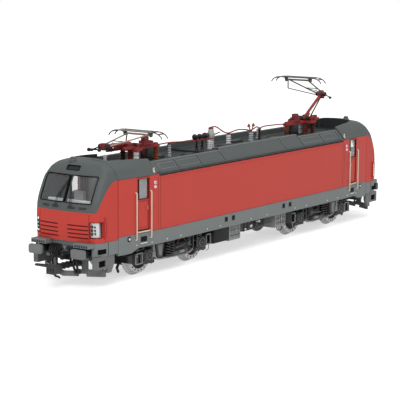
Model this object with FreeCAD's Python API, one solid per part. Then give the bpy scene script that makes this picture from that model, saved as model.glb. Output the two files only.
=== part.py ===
import FreeCAD, Part
import math
import os
from FreeCAD import Vector

# Electric locomotive, a gauge H0 scale model (1:87), on four axles in two bogies.
# Millimetres.  X runs along the locomotive, Y across it and Z up.  The origin is on
# the floor under the middle, and Z = 0 is the underside of the wheel flanges.
# The two ends are alike: each end piece is made at +X ("rear") and mirrored to -X
# ("front").  Every height is measured from the floor.

FIT = 0.05            # gap round a part that is set into an opening
RUN = 0.05            # radial running clearance of a pin or axle in its bore
SEAM = 0.1            # joint line between shell pieces
FAR = 400.0           # longer than any piece, for cutting tools

# ---- main sizes
LENGTH = 218.2        # over the buffers
WIDTH = 34.6          # over the side walls
OVERHANG = 54.5       # from a bogie centre to the buffer face
WHEELBASE = 34.5      # inside one bogie
TREAD_D = 14.4
FLANGE_H = 1.0
BACK_TO_BACK = 14.2
BODY_H = 20.36        # height of the side walls
NOSE_L = 16.9         # from the joint behind the cab front to the buffer face
CAB_L = 22.4          # tapered part of the side, behind that joint
TAPER = 1.56          # how far each side draws in over that length

END_X = LENGTH / 2
HALF_W = WIDTH / 2
PIVOT_X = END_X - OVERHANG
AXLE_X = WHEELBASE / 2
AXLE_Z = FLANGE_H + TREAD_D / 2
GAP_X = END_X - NOSE_L            # joint between side wall and cab front
TAPER_X = GAP_X - CAB_L           # where the sides start to draw in
GAP_Y = HALF_W - TAPER            # half width at the joint
FLOOR_Z = TREAD_D + 2 * FLANGE_H + 1.2    # underside of the floor, over the wheels
WALL_Z = FLOOR_Z + 0.44           # sill to side wall
ROOF_Z = WALL_Z + BODY_H          # side wall to roof
EAVES_Z = ROOF_Z + 0.8            # top of the side walls beside the cabs
SILL_Z = WALL_Z - 5.39            # underside of the sill
SKIRT_Z = SILL_Z - 1.55           # underside of the sill beside the cab
CORNER_Z = SILL_Z - 0.55          # underside of the skirt round the corner
MASK_Z = WALL_Z - 0.84            # underside of the cab front

# ---- wheels
FLANGE_W = 0.8
WHEEL_W = 2.9
AXLE_D = 2.0
HUB_D = 5.0
HUB_W = 0.15          # how far the hub stands out of the wheel
RIM_H = 1.1
DISH = 0.45           # depth of the wheel disc inside the rim
EDGE = 0.2            # small chamfer of a turned edge

# ---- body shell
WALL = 1.2
SKIRT_FROM = 11.5     # the deeper sill starts this far behind the joint
SKIRT_TO = 7.2        # and has its full depth here

# ---- cab front (sections are in MASK below)
SCREEN_Z0 = MASK_Z + 14.1
SCREEN_Z1 = ROOF_Z + 2.3
SCREEN_IN = 3.84      # sides of the windscreen, in from the half width at the joint
PILLAR_W = 0.9
GLASS_T = 0.8
GLASS_IN = 0.15       # glass lies this far inside the outer surface
LAMP_Z0 = MASK_Z + 1.8
LAMP_H = 5.8
LAMP_IN = 3.84        # inner edge of a headlamp, in from the half width at the joint
LAMP_AHEAD = 7.6      # the lamp starts this far ahead of the joint
TOPLAMP_Z0 = ROOF_Z + 4.1
TOPLAMP_H = 1.6
TOPLAMP_Y = 3.0
GROOVE_Z0 = MASK_Z + 1.3
GROOVE_PITCH = 1.5
GROOVE_COUNT = 4
GROOVE_H = 0.5
GROOVE_DEEP = 0.45
GROOVE_Y0 = 2.2
GROOVE_END = 0.6      # from a groove to the headlamp
GROOVE_AHEAD = 8.0
ANTENNA_AHEAD = 3.3
ANTENNA_Y = -2.8      # at the rear; on the other side of the middle at the front
ANTENNA_D = 2.6
ANTENNA_TOP = ROOF_Z + 8.5

# ---- doors and their handrails
DOOR_X1 = GAP_X - 10.7
DOOR_X0 = DOOR_X1 - 6.6
DOOR_Z0 = WALL_Z + 0.96
DOOR_IN = 0.25
DOOR_T = 0.8
DOORWIN_FRAME = 0.75  # door metal beside and above its window
DOORWIN_H = 7.65
RAIL_D = 0.6
RAIL_OUT = 0.35       # clear space between a handrail and the wall
RAIL_Z0 = WALL_Z - 2.44
RAIL_Z1 = ROOF_Z - 4.8
RAIL_OFF = (0.6, 1.1)  # from the door opening to the handrails on its two sides
RAIL_XS = (DOOR_X0 - RAIL_OFF[0], DOOR_X1 + RAIL_OFF[1])

# ---- roof
PANEL_X = TAPER_X - 0.8           # half length of the side panels
PANEL_FOOT = (HALF_W - 0.4, ROOF_Z + 0.6)
PANEL_SLOPE = 1.1     # rise per millimetre inwards
PANEL_TOP = ROOF_Z + 5.0
PANEL_T = 1.3
PANEL_LIP = 0.3
COVER_TOP = PANEL_TOP + 0.9
COVER_X0 = -23.3
COVER_X1 = 36.5
DECK_Z = ROOF_Z + 3.0
DECK_MID_Z = DECK_Z + 0.8
DECK_T = 2.0
ROOF_MID_X = GAP_X - 9.6          # highest cross section of the cab roof
WELL_X = GAP_X - 2.2  # the roof well runs this far into the cab roof
ROOF_WALL = 1.2

# ---- weight and cab interior
WEIGHT_TO_CAB = 13.0
WEIGHT_TO_SIDE = 5.8
WEIGHT_TO_ROOF = 2.4
BULKHEAD_X = DOOR_X0 - 3.9
BULKHEAD_T = 1.0
CAB_FLOOR_T = 1.0
ROOM_GAP = 0.1
DESK_X0 = GAP_X + 2.8
DESK_X1 = GAP_X + 9.8
DESK_FLAT = 1.6       # width of the level top
DESK_TOP = SCREEN_Z0 - 1.1
DESK_DROP = 2.2
DESK_SIDE = 2.54
SEAT_X = GAP_X - 5.2
SEAT_Y = GAP_Y - 9.74
SEAT_W = 4.4
SEAT_L = 4.0
SEAT_H = 7.0
SEAT_BACK_H = 15.0
SEAT_BACK_T = 1.4

# ---- ends
BUFFER_REACH = 6.7    # from the beam to the buffer face
BEAM_T = 3.2
BEAM_X1 = END_X - BUFFER_REACH
BEAM_X0 = BEAM_X1 - BEAM_T
BEAM_Y = GAP_Y - 3.34
BEAM_Z0 = CORNER_Z - 1.9
LIP_H = 1.6           # bright lip along the beam under the cab front
LIP_OUT = 0.6
BUFFER_IN = 2.34      # from the end of the beam to the buffer's centre line
BUFFER_Y = BEAM_Y - BUFFER_IN
BUFFER_Z = MASK_Z - 3.7
BUFFER_W = 6.4
BUFFER_H = 3.5
BUFFER_T = 1.3
BUFFER_ROUND = 0.8
SHANK_D = 2.4
SLEEVE_D = 3.2
SLEEVE_L = 2.8
CLIMBER_L = 4.6       # anti-climb block above each buffer
CLIMBER_H = 1.6
CLIMBER_W = 7.0
HOSE_YS = (-6.4, -4.8, 5.2)
HOSE_D = 0.9

# ---- corner steps
STEP_X1 = BEAM_X1 + 1.6
STEP_L = 6.4
STEP_X0 = STEP_X1 - STEP_L
STEP_Y1 = GAP_Y - 0.64
STEP_W = 2.2
STEP_Z1 = CORNER_Z - FIT
STEP_Z0 = STEP_Z1 - 4.65
TREAD_IN = 1.15       # metal in front of and behind a tread opening
TREAD_UP = 0.8
TREAD_H = 2.4
TREAD_DEEP = 1.5
POCKET_UP = 0.8       # upper step, a pocket in the skirt
POCKET_H = 1.9
FENDER_L = 3.9        # sloping plate behind the step
FENDER_TOE = 2.0
FENDER_DROP = 1.8
FENDER_RISE = 1.5
FENDER_W = 1.2

# ---- plough (plan is in PLOUGH below)
PLOUGH_T = 1.0
PLOUGH_Z0 = 4.0
PLOUGH_H = 2.6
PLOUGH_MID_H = 1.9    # lower in the middle, under the coupler
PLOUGH_MID_Y = 4.0
PLOUGH_NOTCH = (4.8, 8.0, 1.0)
PLOUGH_ARM = (6.2, 8.4)
PLOUGH_ARM_DX = (1.9, 0.7)

# ---- coupler
COUPLER_X = BEAM_X1 - 6.9         # its pivot
COUPLER_Z = 7.0       # underside of the shaft
COUPLER_T = 1.6
COUPLER_W = 3.0
COUPLER_PIN_D = 1.6
COUPLER_EYE_D = 4.2
HEAD_X0 = COUPLER_X + 13.1
HEAD_L = 4.4
HEAD_W = 5.2
HEAD_H = 2.8
LOOP_X = END_X + 5.5
LOOP_Y = 5.4
LOOP_D = 0.8
LOOP_Z = COUPLER_Z + 2.1
TRIP = ((2.4, -0.3), (0.6, -2.4), (-1.6, -3.4))   # bent wire: x from the head, z from the shaft

# ---- bogie
BOLSTER_TOP = FLOOR_Z - 1.4
PIN_IN = 2.5
BOGIE_PIN_D = 4.0
GEARBOX_Y = 6.2
GEARBOX_Z0 = 4.2
GEARBOX_Z1 = BOLSTER_TOP - 3.0
GEARBOX_X = AXLE_X + 4.95
BOLSTER_X = 5.0
FRAME_GAP = 0.9       # from the wheel face to the side frame
FRAME_T = 2.0
FRAME_Y0 = BACK_TO_BACK / 2 + WHEEL_W + FRAME_GAP
FRAME_Y1 = FRAME_Y0 + FRAME_T
FRAME_TOP = AXLE_Z + 3.9
FRAME_IN = AXLE_X + 5.15          # towards the middle of the locomotive
FRAME_OUT = AXLE_X + 10.55
END_BAR = 1.4
BAR_Z0 = AXLE_Z - 1.8
BAR_Z1 = AXLE_Z + 0.6
BOX_W = 4.6           # axle box
BOX_H = 4.4
BOX_Y = FRAME_Y1 + 1.5
COVER_D = 3.4
COVER_T = 0.6
ARM_L = 6.9           # arm of the axle box, with a spring at each end
ARM_H = 1.1
ARM_Z = AXLE_Z - 3.3
SPRING_D = 1.6
SPRING_X = 2.65
SPRING_Z0 = AXLE_Z - 2.6
SPRING_Z1 = AXLE_Z + 1.0
CHEST_X0 = AXLE_X + ARM_L / 2 + 0.15      # box on the frame outside the outer axle
CHEST_X1 = AXLE_X + 8.15
CHEST_Z0 = AXLE_Z - 2.7
CHEST_Z1 = AXLE_Z + 1.7
LINK_Y = FRAME_Y1 + 1.9
LINK_Z0 = AXLE_Z - 2.3
COIL_D = 2.6
COIL_XS = (-4.5, 2.4)
COIL_LOW = 2.0        # the second coil starts this much higher
DAMPER_D = 1.7
DAMPER_X = (-2.0, AXLE_X - 8.45)
DAMPER_Z = (AXLE_Z - 1.9, AXLE_Z - 0.9)
BRACKET_W = 1.6
BRACKET_Z0 = AXLE_Z - 3.6
BRACKET_Z1 = AXLE_Z + 2.7
PIPE_D = 1.0
PIPE_Y = BACK_TO_BACK / 2 + WHEEL_W / 2
PIPE_REACH = 1.6
PIPE_ZS = (AXLE_Z - 0.8, AXLE_Z - 3.6, AXLE_Z - 5.2)

# ---- underfloor gear
BOGIE_SWING = 2.8     # free length between the bogie frame and the cases
CASE_Y = HALF_W - 2.1
CASE_END = PIVOT_X - FRAME_IN - BOGIE_SWING
CASE_ROUND = 0.8
WHEEL_BAY_X = PIVOT_X - AXLE_X - TREAD_D / 2 - FLANGE_H - 1.75
WHEEL_BAY_Y = BACK_TO_BACK / 2 + WHEEL_W + 2.6
TANK_D = 5.0
TANK_IN = 4.2         # outer tanks, in from the face of the cases
TANK_MID_Y = 3.6
TANK_YS = (TANK_IN - CASE_Y, -TANK_MID_Y, TANK_MID_Y, CASE_Y - TANK_IN)
TANK_X = (-0.34 * CASE_END, 0.238 * CASE_END)
STRAP_W = 1.2
STRAP_IN = 3.0

# ---- pantograph, in the plane y = 0, for the end at +X
PAN_BEHIND = 28.4     # lower arm's pivot, behind the joint of the cab front
PAN_X = GAP_X - PAN_BEHIND
PAN_PIVOT = (PAN_X, DECK_Z + 7.0)
PAN_LOWER = 16.8
PAN_UPPER = 21.2
PAN_TAIL = 5.3
PAN_ROD_FOOT = (PAN_X + 8.7, DECK_Z + 5.8)
PAN_RAISED = 35.8     # angle of the lower arm, raised
PAN_FOLDED = 3.0      # and folded down
UPPER_RAISED = 159.0
UPPER_FOLDED = 172.0
HUB_Y = 3.2           # half length of the lower arm's hub
KNEE_Y = 1.2          # half width of the block at the knee
KNEE_D = 3.0
PAN_PIN_D = 1.0
EYE_D = 2.0
ARM_D = 1.5
FOOT_SLEEVE_D = 1.8   # thicker foot of the lower arm
SLEEVE_SHARE = 0.2    # its length, as a share of the arm
UPPER_D = 0.9
UPPER_EYE_Y = (1.35, 2.4)         # eyes of the upper arm, outside the knee block
UPPER_Y = 5.0         # half width of the upper arm at the head
UPPER_BRACE = 0.42    # cross bar of the upper arm, as a share of its length
THIN_D = 0.6
ROD_Y = 3.1
ROD_EYE = 0.4         # half thickness of the eyes of the thin rod
STRIP_GAP = 3.8
STRIP_W = 0.9
STRIP_UP = 1.5        # top of the strips above the head pivot
STRIP_T = 0.7
BOW_Y = 14.0
BOW_DROP = 2.2
HANGER_Y = 5.85
HANGER_T = 0.7
BASE_L = 16.8         # between the feet of the base
FOOT_X = (PAN_X + 1.2 - BASE_L, PAN_X + 1.2)
FOOT_Y = 3.2
FOOT_D = 2.6
SHED_PITCH = 1.2
SHED_T = 0.5
BASE_Z = DECK_Z + 4.8
BASE_T = 1.2
BASE_Y = 1.1
CHEEK_T = 0.9
CHEEK_GAP = 0.3
CONDUCTOR_D = 0.8


def box(x0, x1, y0, y1, z0, z1):
    lows = (min(x0, x1), min(y0, y1), min(z0, z1))
    sizes = (abs(x1 - x0), abs(y1 - y0), abs(z1 - z0))
    return Part.makeBox(*sizes, Vector(*lows))


def wide(x0, x1, y, z0, z1):
    """Block from -y to y."""
    return box(x0, x1, -y, y, z0, z1)


def rod(a, b, d):
    """Round bar of diameter d from point a to point b."""
    start = Vector(*a)
    run = Vector(*b) - start
    return Part.makeCylinder(d / 2, run.Length, start, run)


def ball(p, d):
    return Part.makeSphere(d / 2, Vector(*p))


def bent(points, d):
    """Round bar through several points."""
    runs = [rod(a, b, d) for a, b in zip(points, points[1:])]
    return fuse(runs + [ball(p, d) for p in points[1:]])


def fuse(shapes):
    first = shapes[0]
    if len(shapes) == 1:
        return first
    return first.fuse(shapes[1:]).removeSplitter()


def cut(shape, *tools):
    return shape.cut(list(tools))


def front(shape):
    """The same piece at the other end."""
    return shape.mirror(Vector(0, 0, 0), Vector(1, 0, 0))


def across(shape):
    """The same piece on the other side."""
    return shape.mirror(Vector(0, 0, 0), Vector(0, 1, 0))


def both_sides(shape):
    return [shape, across(shape)]


def both_ends(shape):
    return [shape, front(shape)]


def move(shape, x, z=0.0):
    copy = shape.copy()
    copy.translate(Vector(x, 0, z))
    return copy


def prism(points, axis, start, length):
    """Flat outline pushed along an axis. Points are (x, z) for y, (y, z) for x, (x, y) for z."""
    place = {"x": lambda p: Vector(start, p[0], p[1]),
             "y": lambda p: Vector(p[0], start, p[1]),
             "z": lambda p: Vector(p[0], p[1], start)}[axis]
    push = {"x": Vector(length, 0, 0), "y": Vector(0, length, 0), "z": Vector(0, 0, length)}[axis]
    return flat([place(p) for p in points]).extrude(push)


def flat(corners):
    return Part.Face(Part.makePolygon(list(corners) + [corners[0]]))


def facets(sections):
    """Solid with flat faces through closed outlines that have the same number of corners."""
    faces = [flat(sections[0]), flat(sections[-1])]
    for near, far in zip(sections, sections[1:]):
        for i, corner in enumerate(near):
            j = (i + 1) % len(near)
            faces += [flat([corner, near[j], far[j]]), flat([corner, far[j], far[i]])]
    return Part.makeSolid(Part.makeShell(faces))


def save(name, shapes):
    solids = shapes if isinstance(shapes, list) else [shapes]
    parts = [s for shape in solids for s in shape.Solids]
    result = parts[0] if len(parts) == 1 else Part.makeCompound(parts)
    result.exportStep("parts/%s.step" % name)


# ---------------------------------------------------------------- body shell
def half_width(x):
    """Half width of the body at x."""
    past = max(0.0, abs(x) - TAPER_X)
    return HALF_W - TAPER * past / CAB_L


def side_band(x, outer, inner, z0, z1):
    """Strip of the +Y side out to +-x, between two depths inside the outer face."""
    stations = (-x, -TAPER_X, TAPER_X, x)
    outside = [(s, half_width(s) - outer) for s in stations]
    inside = [(s, half_width(s) - inner) for s in reversed(stations)]
    return prism(outside + inside, "z", z0, z1 - z0)


def door_opening(gap):
    return box(DOOR_X0 + gap, DOOR_X1 - gap, 0, WIDTH, DOOR_Z0 + gap, FAR)


def door_window(gap):
    high = EAVES_Z - DOORWIN_FRAME
    return box(DOOR_X0 + DOORWIN_FRAME + gap, DOOR_X1 - DOORWIN_FRAME - gap, 0, WIDTH,
               high - DOORWIN_H + gap, high - gap)


def side_wall():
    low = side_band(GAP_X - SEAM, 0, WALL, WALL_Z, ROOF_Z - SEAM)
    high = side_band(GAP_X - SEAM, 0, WALL, ROOF_Z - 2 * SEAM, EAVES_Z - SEAM)
    ends = high.cut(wide(-PANEL_X - SEAM, PANEL_X + SEAM, WIDTH, 0, FAR))
    return cut(fuse([low, ends]), *both_ends(door_opening(0)))


def door():
    leaf = side_band(GAP_X, DOOR_IN, DOOR_IN + DOOR_T, WALL_Z, EAVES_Z - SEAM)
    return leaf.common(door_opening(FIT)).cut(door_window(0))


def door_pane():
    pane = side_band(GAP_X, DOOR_IN + GLASS_IN, DOOR_IN + DOOR_T, WALL_Z, EAVES_Z)
    return pane.common(door_window(FIT))


def handrail(x):
    """Upright bar beside a door, on two short feet."""
    y = half_width(x) + RAIL_OUT + RAIL_D / 2
    bar = rod((x, y, RAIL_Z0), (x, y, RAIL_Z1), RAIL_D)
    feet = [rod((x, y - RAIL_OUT - RAIL_D, z), (x, y, z), RAIL_D * 0.8)
            for z in (RAIL_Z0 + RAIL_D, RAIL_Z1 - RAIL_D)]
    return fuse([bar] + feet).cut(side_band(GAP_X, 0, 2 * WALL, SILL_Z, ROOF_Z))


# ---------------------------------------------------------------- cab front
# Level sections of the cab front.  Columns: height, then distances in from the half width
# at the joint (in) and forward from that joint (ahead): in at the joint, ahead and in where
# the corner starts, ahead and in where it ends, ahead on the centre line.
MASK = (
    (MASK_Z, 0.00, 7.7, 0.54, 11.4, 3.34, 12.5),
    (MASK_Z + 5.8, 0.00, 8.0, 0.56, 11.9, 3.34, 13.0),
    (MASK_Z + 11.8, 0.00, 7.6, 0.53, 11.5, 3.34, 12.7),
    (SCREEN_Z0, 0.00, 7.1, 0.52, 11.0, 3.34, 12.0),
    (SCREEN_Z0 + 3.7, 0.00, 5.4, 0.44, 9.4, 3.34, 10.3),
    (EAVES_Z, 0.00, 3.25, 0.6, 7.3, 3.48, 8.45),
    (SCREEN_Z1, 0.84, 2.4, 1.24, 6.3, 3.54, 7.7),
    (ROOF_Z + 4.2, 1.84, 1.5, 2.14, 5.1, 4.54, 6.9),
    (ROOF_Z + 5.6, 3.54, 1.1, 3.74, 4.1, 6.04, 6.0),
    (ROOF_Z + 6.6, 5.34, 0.8, 5.54, 3.0, 8.04, 4.6),
    (ROOF_Z + 7.6, 12.5, 0.3, 12.7, 0.7, 13.5, 1.1),
)


def mask_wire(row, inset, back):
    z, joint_in, side_ahead, side_in, nose_ahead, nose_in, mid_ahead = row
    least = 0.1
    joint = (GAP_X - back, max(4 * least, GAP_Y - joint_in - inset))
    start = (GAP_X + max(least, side_ahead - inset * 0.6), max(3 * least, GAP_Y - side_in - inset))
    end = (GAP_X + max(2 * least, nose_ahead - inset), max(2 * least, GAP_Y - nose_in - inset * 0.6))
    middle = (GAP_X + max(3 * least, mid_ahead - inset), 0.0)
    lean = 0.2
    bulge = ((start[0] + end[0]) / 2 + lean * (end[0] - start[0]),
             (start[1] + end[1]) / 2 + lean * (start[1] - end[1]))

    def at(p, side):
        return Vector(p[0], side * p[1], z)

    edges = [Part.LineSegment(at(joint, 1), at(start, 1)).toShape(),
             Part.Arc(at(start, 1), at(bulge, 1), at(end, 1)).toShape(),
             Part.Arc(at(end, 1), at(middle, 1), at(end, -1)).toShape(),
             Part.Arc(at(end, -1), at(bulge, -1), at(start, -1)).toShape(),
             Part.LineSegment(at(start, -1), at(joint, -1)).toShape(),
             Part.LineSegment(at(joint, -1), at(joint, 1)).toShape()]
    return Part.Wire(edges)


def mask_block(inset=0.0, back=0.0, foot=0.0, drop=0.0):
    """Solid of the cab front, its surface moved in by inset, its joint face by back,
    its underside down by foot and its dome down by drop."""
    rows = [(z - drop if z > SCREEN_Z1 else z, *rest) for z, *rest in MASK]
    rows[0] = (MASK_Z - foot, *rows[0][1:])
    return Part.makeLoft([mask_wire(row, inset, back) for row in rows], True, True)


def mask_skin(outer, inner):
    """Layer of the cab front between two depths."""
    return mask_block(outer).cut(mask_block(inner, back=WALL, foot=WALL, drop=inner - outer))


def ahead_of_joint(gap=0.0):
    return wide(GAP_X + gap, LENGTH, WIDTH, 0, FAR)


def screen_prism(gap):
    """Both windscreen openings, less gap all round."""
    side = box(GAP_X + WALL, LENGTH, PILLAR_W / 2 + gap, GAP_Y - SCREEN_IN - gap,
               SCREEN_Z0 + gap, SCREEN_Z1 - gap)
    return both_sides(side)


def lamp_prism(gap):
    block = box(GAP_X + LAMP_AHEAD + gap, LENGTH, GAP_Y - LAMP_IN + gap, WIDTH,
                LAMP_Z0 + gap, LAMP_Z0 + LAMP_H - gap)
    return both_sides(block)


def toplamp_prism(gap):
    return wide(GAP_X + WALL, LENGTH, TOPLAMP_Y - gap, TOPLAMP_Z0 + gap, TOPLAMP_Z0 + TOPLAMP_H - gap)


def cab_mask():
    room = mask_block(WALL, back=WALL, foot=WALL, drop=WALL)
    x = GAP_X + ANTENNA_AHEAD
    antenna = rod((x, ANTENNA_Y, ROOF_Z), (x, ANTENNA_Y, ANTENNA_TOP), ANTENNA_D)
    shell = fuse([mask_block(), antenna]).cut(room)
    layer = mask_skin(0, GROOVE_DEEP)
    grooves = []
    for row in range(GROOVE_COUNT):
        z = GROOVE_Z0 + row * GROOVE_PITCH
        slot = box(GAP_X + GROOVE_AHEAD, LENGTH, GROOVE_Y0, GAP_Y - LAMP_IN - GROOVE_END, z, z + GROOVE_H)
        grooves += [s.common(layer) for s in both_sides(slot)]
    openings = screen_prism(0) + lamp_prism(0) + [toplamp_prism(0)]
    return cut(shell, *openings, *grooves).common(ahead_of_joint(SEAM))


def screen_glass():
    skin = mask_skin(GLASS_IN, GLASS_IN + GLASS_T)
    return [skin.common(pane) for pane in screen_prism(FIT)]


def lamps():
    skin = mask_skin(GLASS_IN, WALL)
    blocks = lamp_prism(FIT) + [toplamp_prism(FIT)]
    return [skin.common(block) for block in blocks]


# ---------------------------------------------------------------- roof
# Cross sections of the cab roof behind the joint.  Columns: x, then for each corner from the
# eaves to the crown its distance in from the half width there and its height over the eaves.
CAB_ROOF = (
    (TAPER_X, (0.0, 0.0), (0.6, 0.6), (2.3, 2.6), (4.0, 4.6), (5.3, 5.5), (13.5, 5.7)),
    (ROOF_MID_X, (0.0, 0.0), (0.7, 1.0), (1.9, 3.1), (3.7, 4.8), (5.6, 6.1), (13.2, 7.6)),
)
# Plan of the well in it, for the insulators.  Columns: x, half width.
WELL = (
    (TAPER_X, HALF_W - 5.3),
    (ROOF_MID_X, HALF_W - 6.7),
    (WELL_X, HALF_W - 8.8),
)


def roof_sections():
    """All cross sections; the last one is the edge of the cab front."""
    rows = [(x, [(half_width(x) - y_in, EAVES_Z + up) for y_in, up in corners]) for x, *corners in CAB_ROOF]
    edge = [(GAP_Y - row[1], row[0]) for row in MASK if row[0] >= EAVES_Z]
    return rows + [(GAP_X, edge)]


def roof_block(inset):
    """Solid of the cab roof, its surface moved in by inset."""
    halves = []
    for x, corners in roof_sections():
        points = [Vector(x, y - inset, z - (inset if z > EAVES_Z else 0)) for y, z in corners]
        low, high = points[0].z, points[-1].z
        halves.append([Vector(x, 0, low)] + points + [Vector(x, 0, high)])
    return fuse(both_sides(facets(halves)))


def roof_well(wall):
    """Well in the cab roof, its sides and floor moved out by wall."""
    side = [(x + wall, y + wall) for x, y in WELL]
    side[0] = (TAPER_X - ROOF_WALL, side[0][1])
    other = [(x, -y) for x, y in reversed(side)]
    return prism(side + other, "z", DECK_Z - wall, FAR)


def cab_roof():
    tray = roof_well(ROOF_WALL)
    room = roof_block(ROOF_WALL).common(wide(BULKHEAD_X, LENGTH, WIDTH, 0, FAR)).cut(tray)
    shell = cut(roof_block(0), room, roof_well(0))
    return shell.cut(ahead_of_joint(-SEAM))


def panel_inside(top):
    """Half width of the well between side panels whose top edge is at this height."""
    foot_y, foot_z = PANEL_FOOT
    return foot_y - (top - foot_z) / PANEL_SLOPE - PANEL_T


def panel_outline(top):
    """Cross section of a side panel: sloping skin and the upright inside it."""
    foot_y, foot_z = PANEL_FOOT
    inside = panel_inside(top)
    floor = DECK_Z if top == PANEL_TOP else DECK_MID_Z
    deck_edge = panel_inside(PANEL_TOP)
    return [(foot_y, foot_z), (inside + PANEL_T, top), (inside, top), (inside, floor),
            (deck_edge, floor), (deck_edge, DECK_Z), (foot_y - PANEL_T, ROOF_Z), (foot_y - PANEL_LIP, ROOF_Z)]


def roof_panels():
    low = prism(panel_outline(PANEL_TOP), "x", -PANEL_X, 2 * PANEL_X)
    high = prism(panel_outline(COVER_TOP), "x", COVER_X0, COVER_X1 - COVER_X0)
    return fuse([low, high])


def roof_deck():
    base = wide(-PANEL_X, PANEL_X, panel_inside(PANEL_TOP), DECK_Z - DECK_T, DECK_Z)
    middle = wide(COVER_X0, COVER_X1, panel_inside(COVER_TOP), DECK_Z, DECK_MID_Z)
    return fuse([base, middle])


# ---------------------------------------------------------------- floor and sills
def sill():
    """Grey sill along one side, deeper beside the cab."""
    strip = side_band(GAP_X - SEAM, 0, WALL, SILL_Z, WALL_Z - SEAM)
    drop = [(GAP_X - SKIRT_FROM, SILL_Z), (GAP_X - SKIRT_TO, SKIRT_Z), (GAP_X - SEAM, SKIRT_Z),
            (GAP_X - SEAM, SILL_Z)]
    deep = prism(drop, "y", 0, WIDTH).common(side_band(GAP_X, 0, WALL, 0, SILL_Z))
    return fuse([strip] + both_ends(deep))


def underframe():
    top = WALL_Z - SEAM
    plate = wide(-GAP_X, GAP_X, GAP_Y - WALL, FLOOR_Z, top)
    nose = wide(-BEAM_X0, BEAM_X0, BEAM_Y, FLOOR_Z, top)
    flank = side_band(GAP_X - SEAM, WALL - SEAM, HALF_W / 2, FLOOR_Z, top)
    spine = wide(-WHEEL_BAY_X, WHEEL_BAY_X, CASE_Y, SILL_Z, FLOOR_Z)
    solids = [plate, nose, spine] + both_sides(flank) + both_sides(sill())
    for x in (-PIVOT_X, PIVOT_X):
        solids.append(rod((x, 0, BOLSTER_TOP + SEAM), (x, 0, FLOOR_Z), 2 * BOGIE_PIN_D))
        solids.append(rod((x, 0, BOLSTER_TOP - PIN_IN), (x, 0, FLOOR_Z), BOGIE_PIN_D))
    for x in (-COUPLER_X, COUPLER_X):
        solids.append(rod((x, 0, COUPLER_Z - COUPLER_PIN_D / 2), (x, 0, FLOOR_Z), COUPLER_PIN_D))
        solids.append(rod((x, 0, COUPLER_Z + COUPLER_T + SEAM), (x, 0, FLOOR_Z), COUPLER_EYE_D))
    return fuse(solids)


def weight():
    reach = BULKHEAD_X - WEIGHT_TO_CAB
    return wide(-reach, reach, HALF_W - WEIGHT_TO_SIDE, WALL_Z, ROOF_Z - WEIGHT_TO_ROOF)


def cab_interior():
    """Bulkhead, floor, desk and seats behind one windscreen."""
    y = GAP_Y - WALL - ROOM_GAP
    bulkhead = wide(BULKHEAD_X, BULKHEAD_X + BULKHEAD_T, y, WALL_Z, EAVES_Z - 3 * ROOM_GAP)
    floor_top = WALL_Z + CAB_FLOOR_T
    deck = wide(BULKHEAD_X, BEAM_X0, y, WALL_Z, floor_top)
    side = [(DESK_X0, WALL_Z), (DESK_X1, WALL_Z), (DESK_X1, DESK_TOP), (DESK_X1 - DESK_FLAT, DESK_TOP),
            (DESK_X0, DESK_TOP - DESK_DROP)]
    desk = prism(side, "y", DESK_SIDE - GAP_Y, 2 * (GAP_Y - DESK_SIDE))
    seats = []
    for side in (-SEAT_Y, SEAT_Y):
        for x1, height in ((SEAT_X + SEAT_L, SEAT_H), (SEAT_X + SEAT_BACK_T, SEAT_BACK_H)):
            seats.append(box(SEAT_X, x1, side - SEAT_W / 2, side + SEAT_W / 2, WALL_Z, WALL_Z + height))
    room = mask_block(WALL + ROOM_GAP, back=WALL, foot=WALL)
    behind = wide(0, GAP_X - 5 * SEAM, WIDTH, 0, FAR)
    return fuse([bulkhead, deck, desk] + seats).common(room.fuse(behind))


# ---------------------------------------------------------------- ends
def end_beam():
    """Beam behind the buffers, the skirt round both corners and the anti-climb blocks."""
    top = MASK_Z - SEAM
    beam = wide(BEAM_X0, BEAM_X1, BEAM_Y, CORNER_Z, top)
    keel = wide(BEAM_X0, BEAM_X1, BEAM_Y - STEP_W, BEAM_Z0, CORNER_Z)
    lip = wide(BEAM_X1, BEAM_X1 + LIP_OUT, BEAM_Y, top - LIP_H, top)
    foot = (CORNER_Z, *MASK[0][1:])
    rise = Vector(0, 0, top - CORNER_Z)
    outline = Part.Face(mask_wire(foot, 0, 0)).extrude(rise)
    hollow = Part.Face(mask_wire(foot, WALL, WALL)).extrude(rise)
    solid_x = wide(STEP_X0, BEAM_X1, WIDTH, 0, FAR)
    skirt = outline.cut(hollow.cut(solid_x)).common(ahead_of_joint(SEAM))
    skirt = skirt.cut(wide(0, LENGTH, BEAM_Y - WALL, 0, FAR)).cut(wide(BEAM_X1, LENGTH, BEAM_Y, 0, FAR))
    pocket = box(STEP_X0 + TREAD_IN, STEP_X1 - TREAD_IN - FIT, GAP_Y - TREAD_DEEP, WIDTH,
                 CORNER_Z + POCKET_UP, CORNER_Z + POCKET_UP + POCKET_H)
    inner = BUFFER_Y - CLIMBER_W / 2
    block = box(BEAM_X1, BEAM_X1 + CLIMBER_L, inner, inner + CLIMBER_W, top - CLIMBER_H, top)
    whole = fuse([beam, keel, lip, skirt] + both_sides(block))
    return cut(whole, *both_sides(pocket))


def buffer():
    y0, z0 = BUFFER_Y - BUFFER_W / 2, BUFFER_Z - BUFFER_H / 2
    head = box(END_X - BUFFER_T, END_X, y0, y0 + BUFFER_W, z0, z0 + BUFFER_H)
    edges = [e for e in head.Edges if abs(e.BoundBox.XLength - BUFFER_T) < 1e-6]
    head = head.makeFillet(BUFFER_ROUND, edges)
    shank = rod((BEAM_X1, BUFFER_Y, BUFFER_Z), (END_X - BUFFER_T, BUFFER_Y, BUFFER_Z), SHANK_D)
    sleeve = rod((BEAM_X1, BUFFER_Y, BUFFER_Z), (BEAM_X1 + SLEEVE_L, BUFFER_Y, BUFFER_Z), SLEEVE_D)
    return fuse([head, shank, sleeve])


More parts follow.
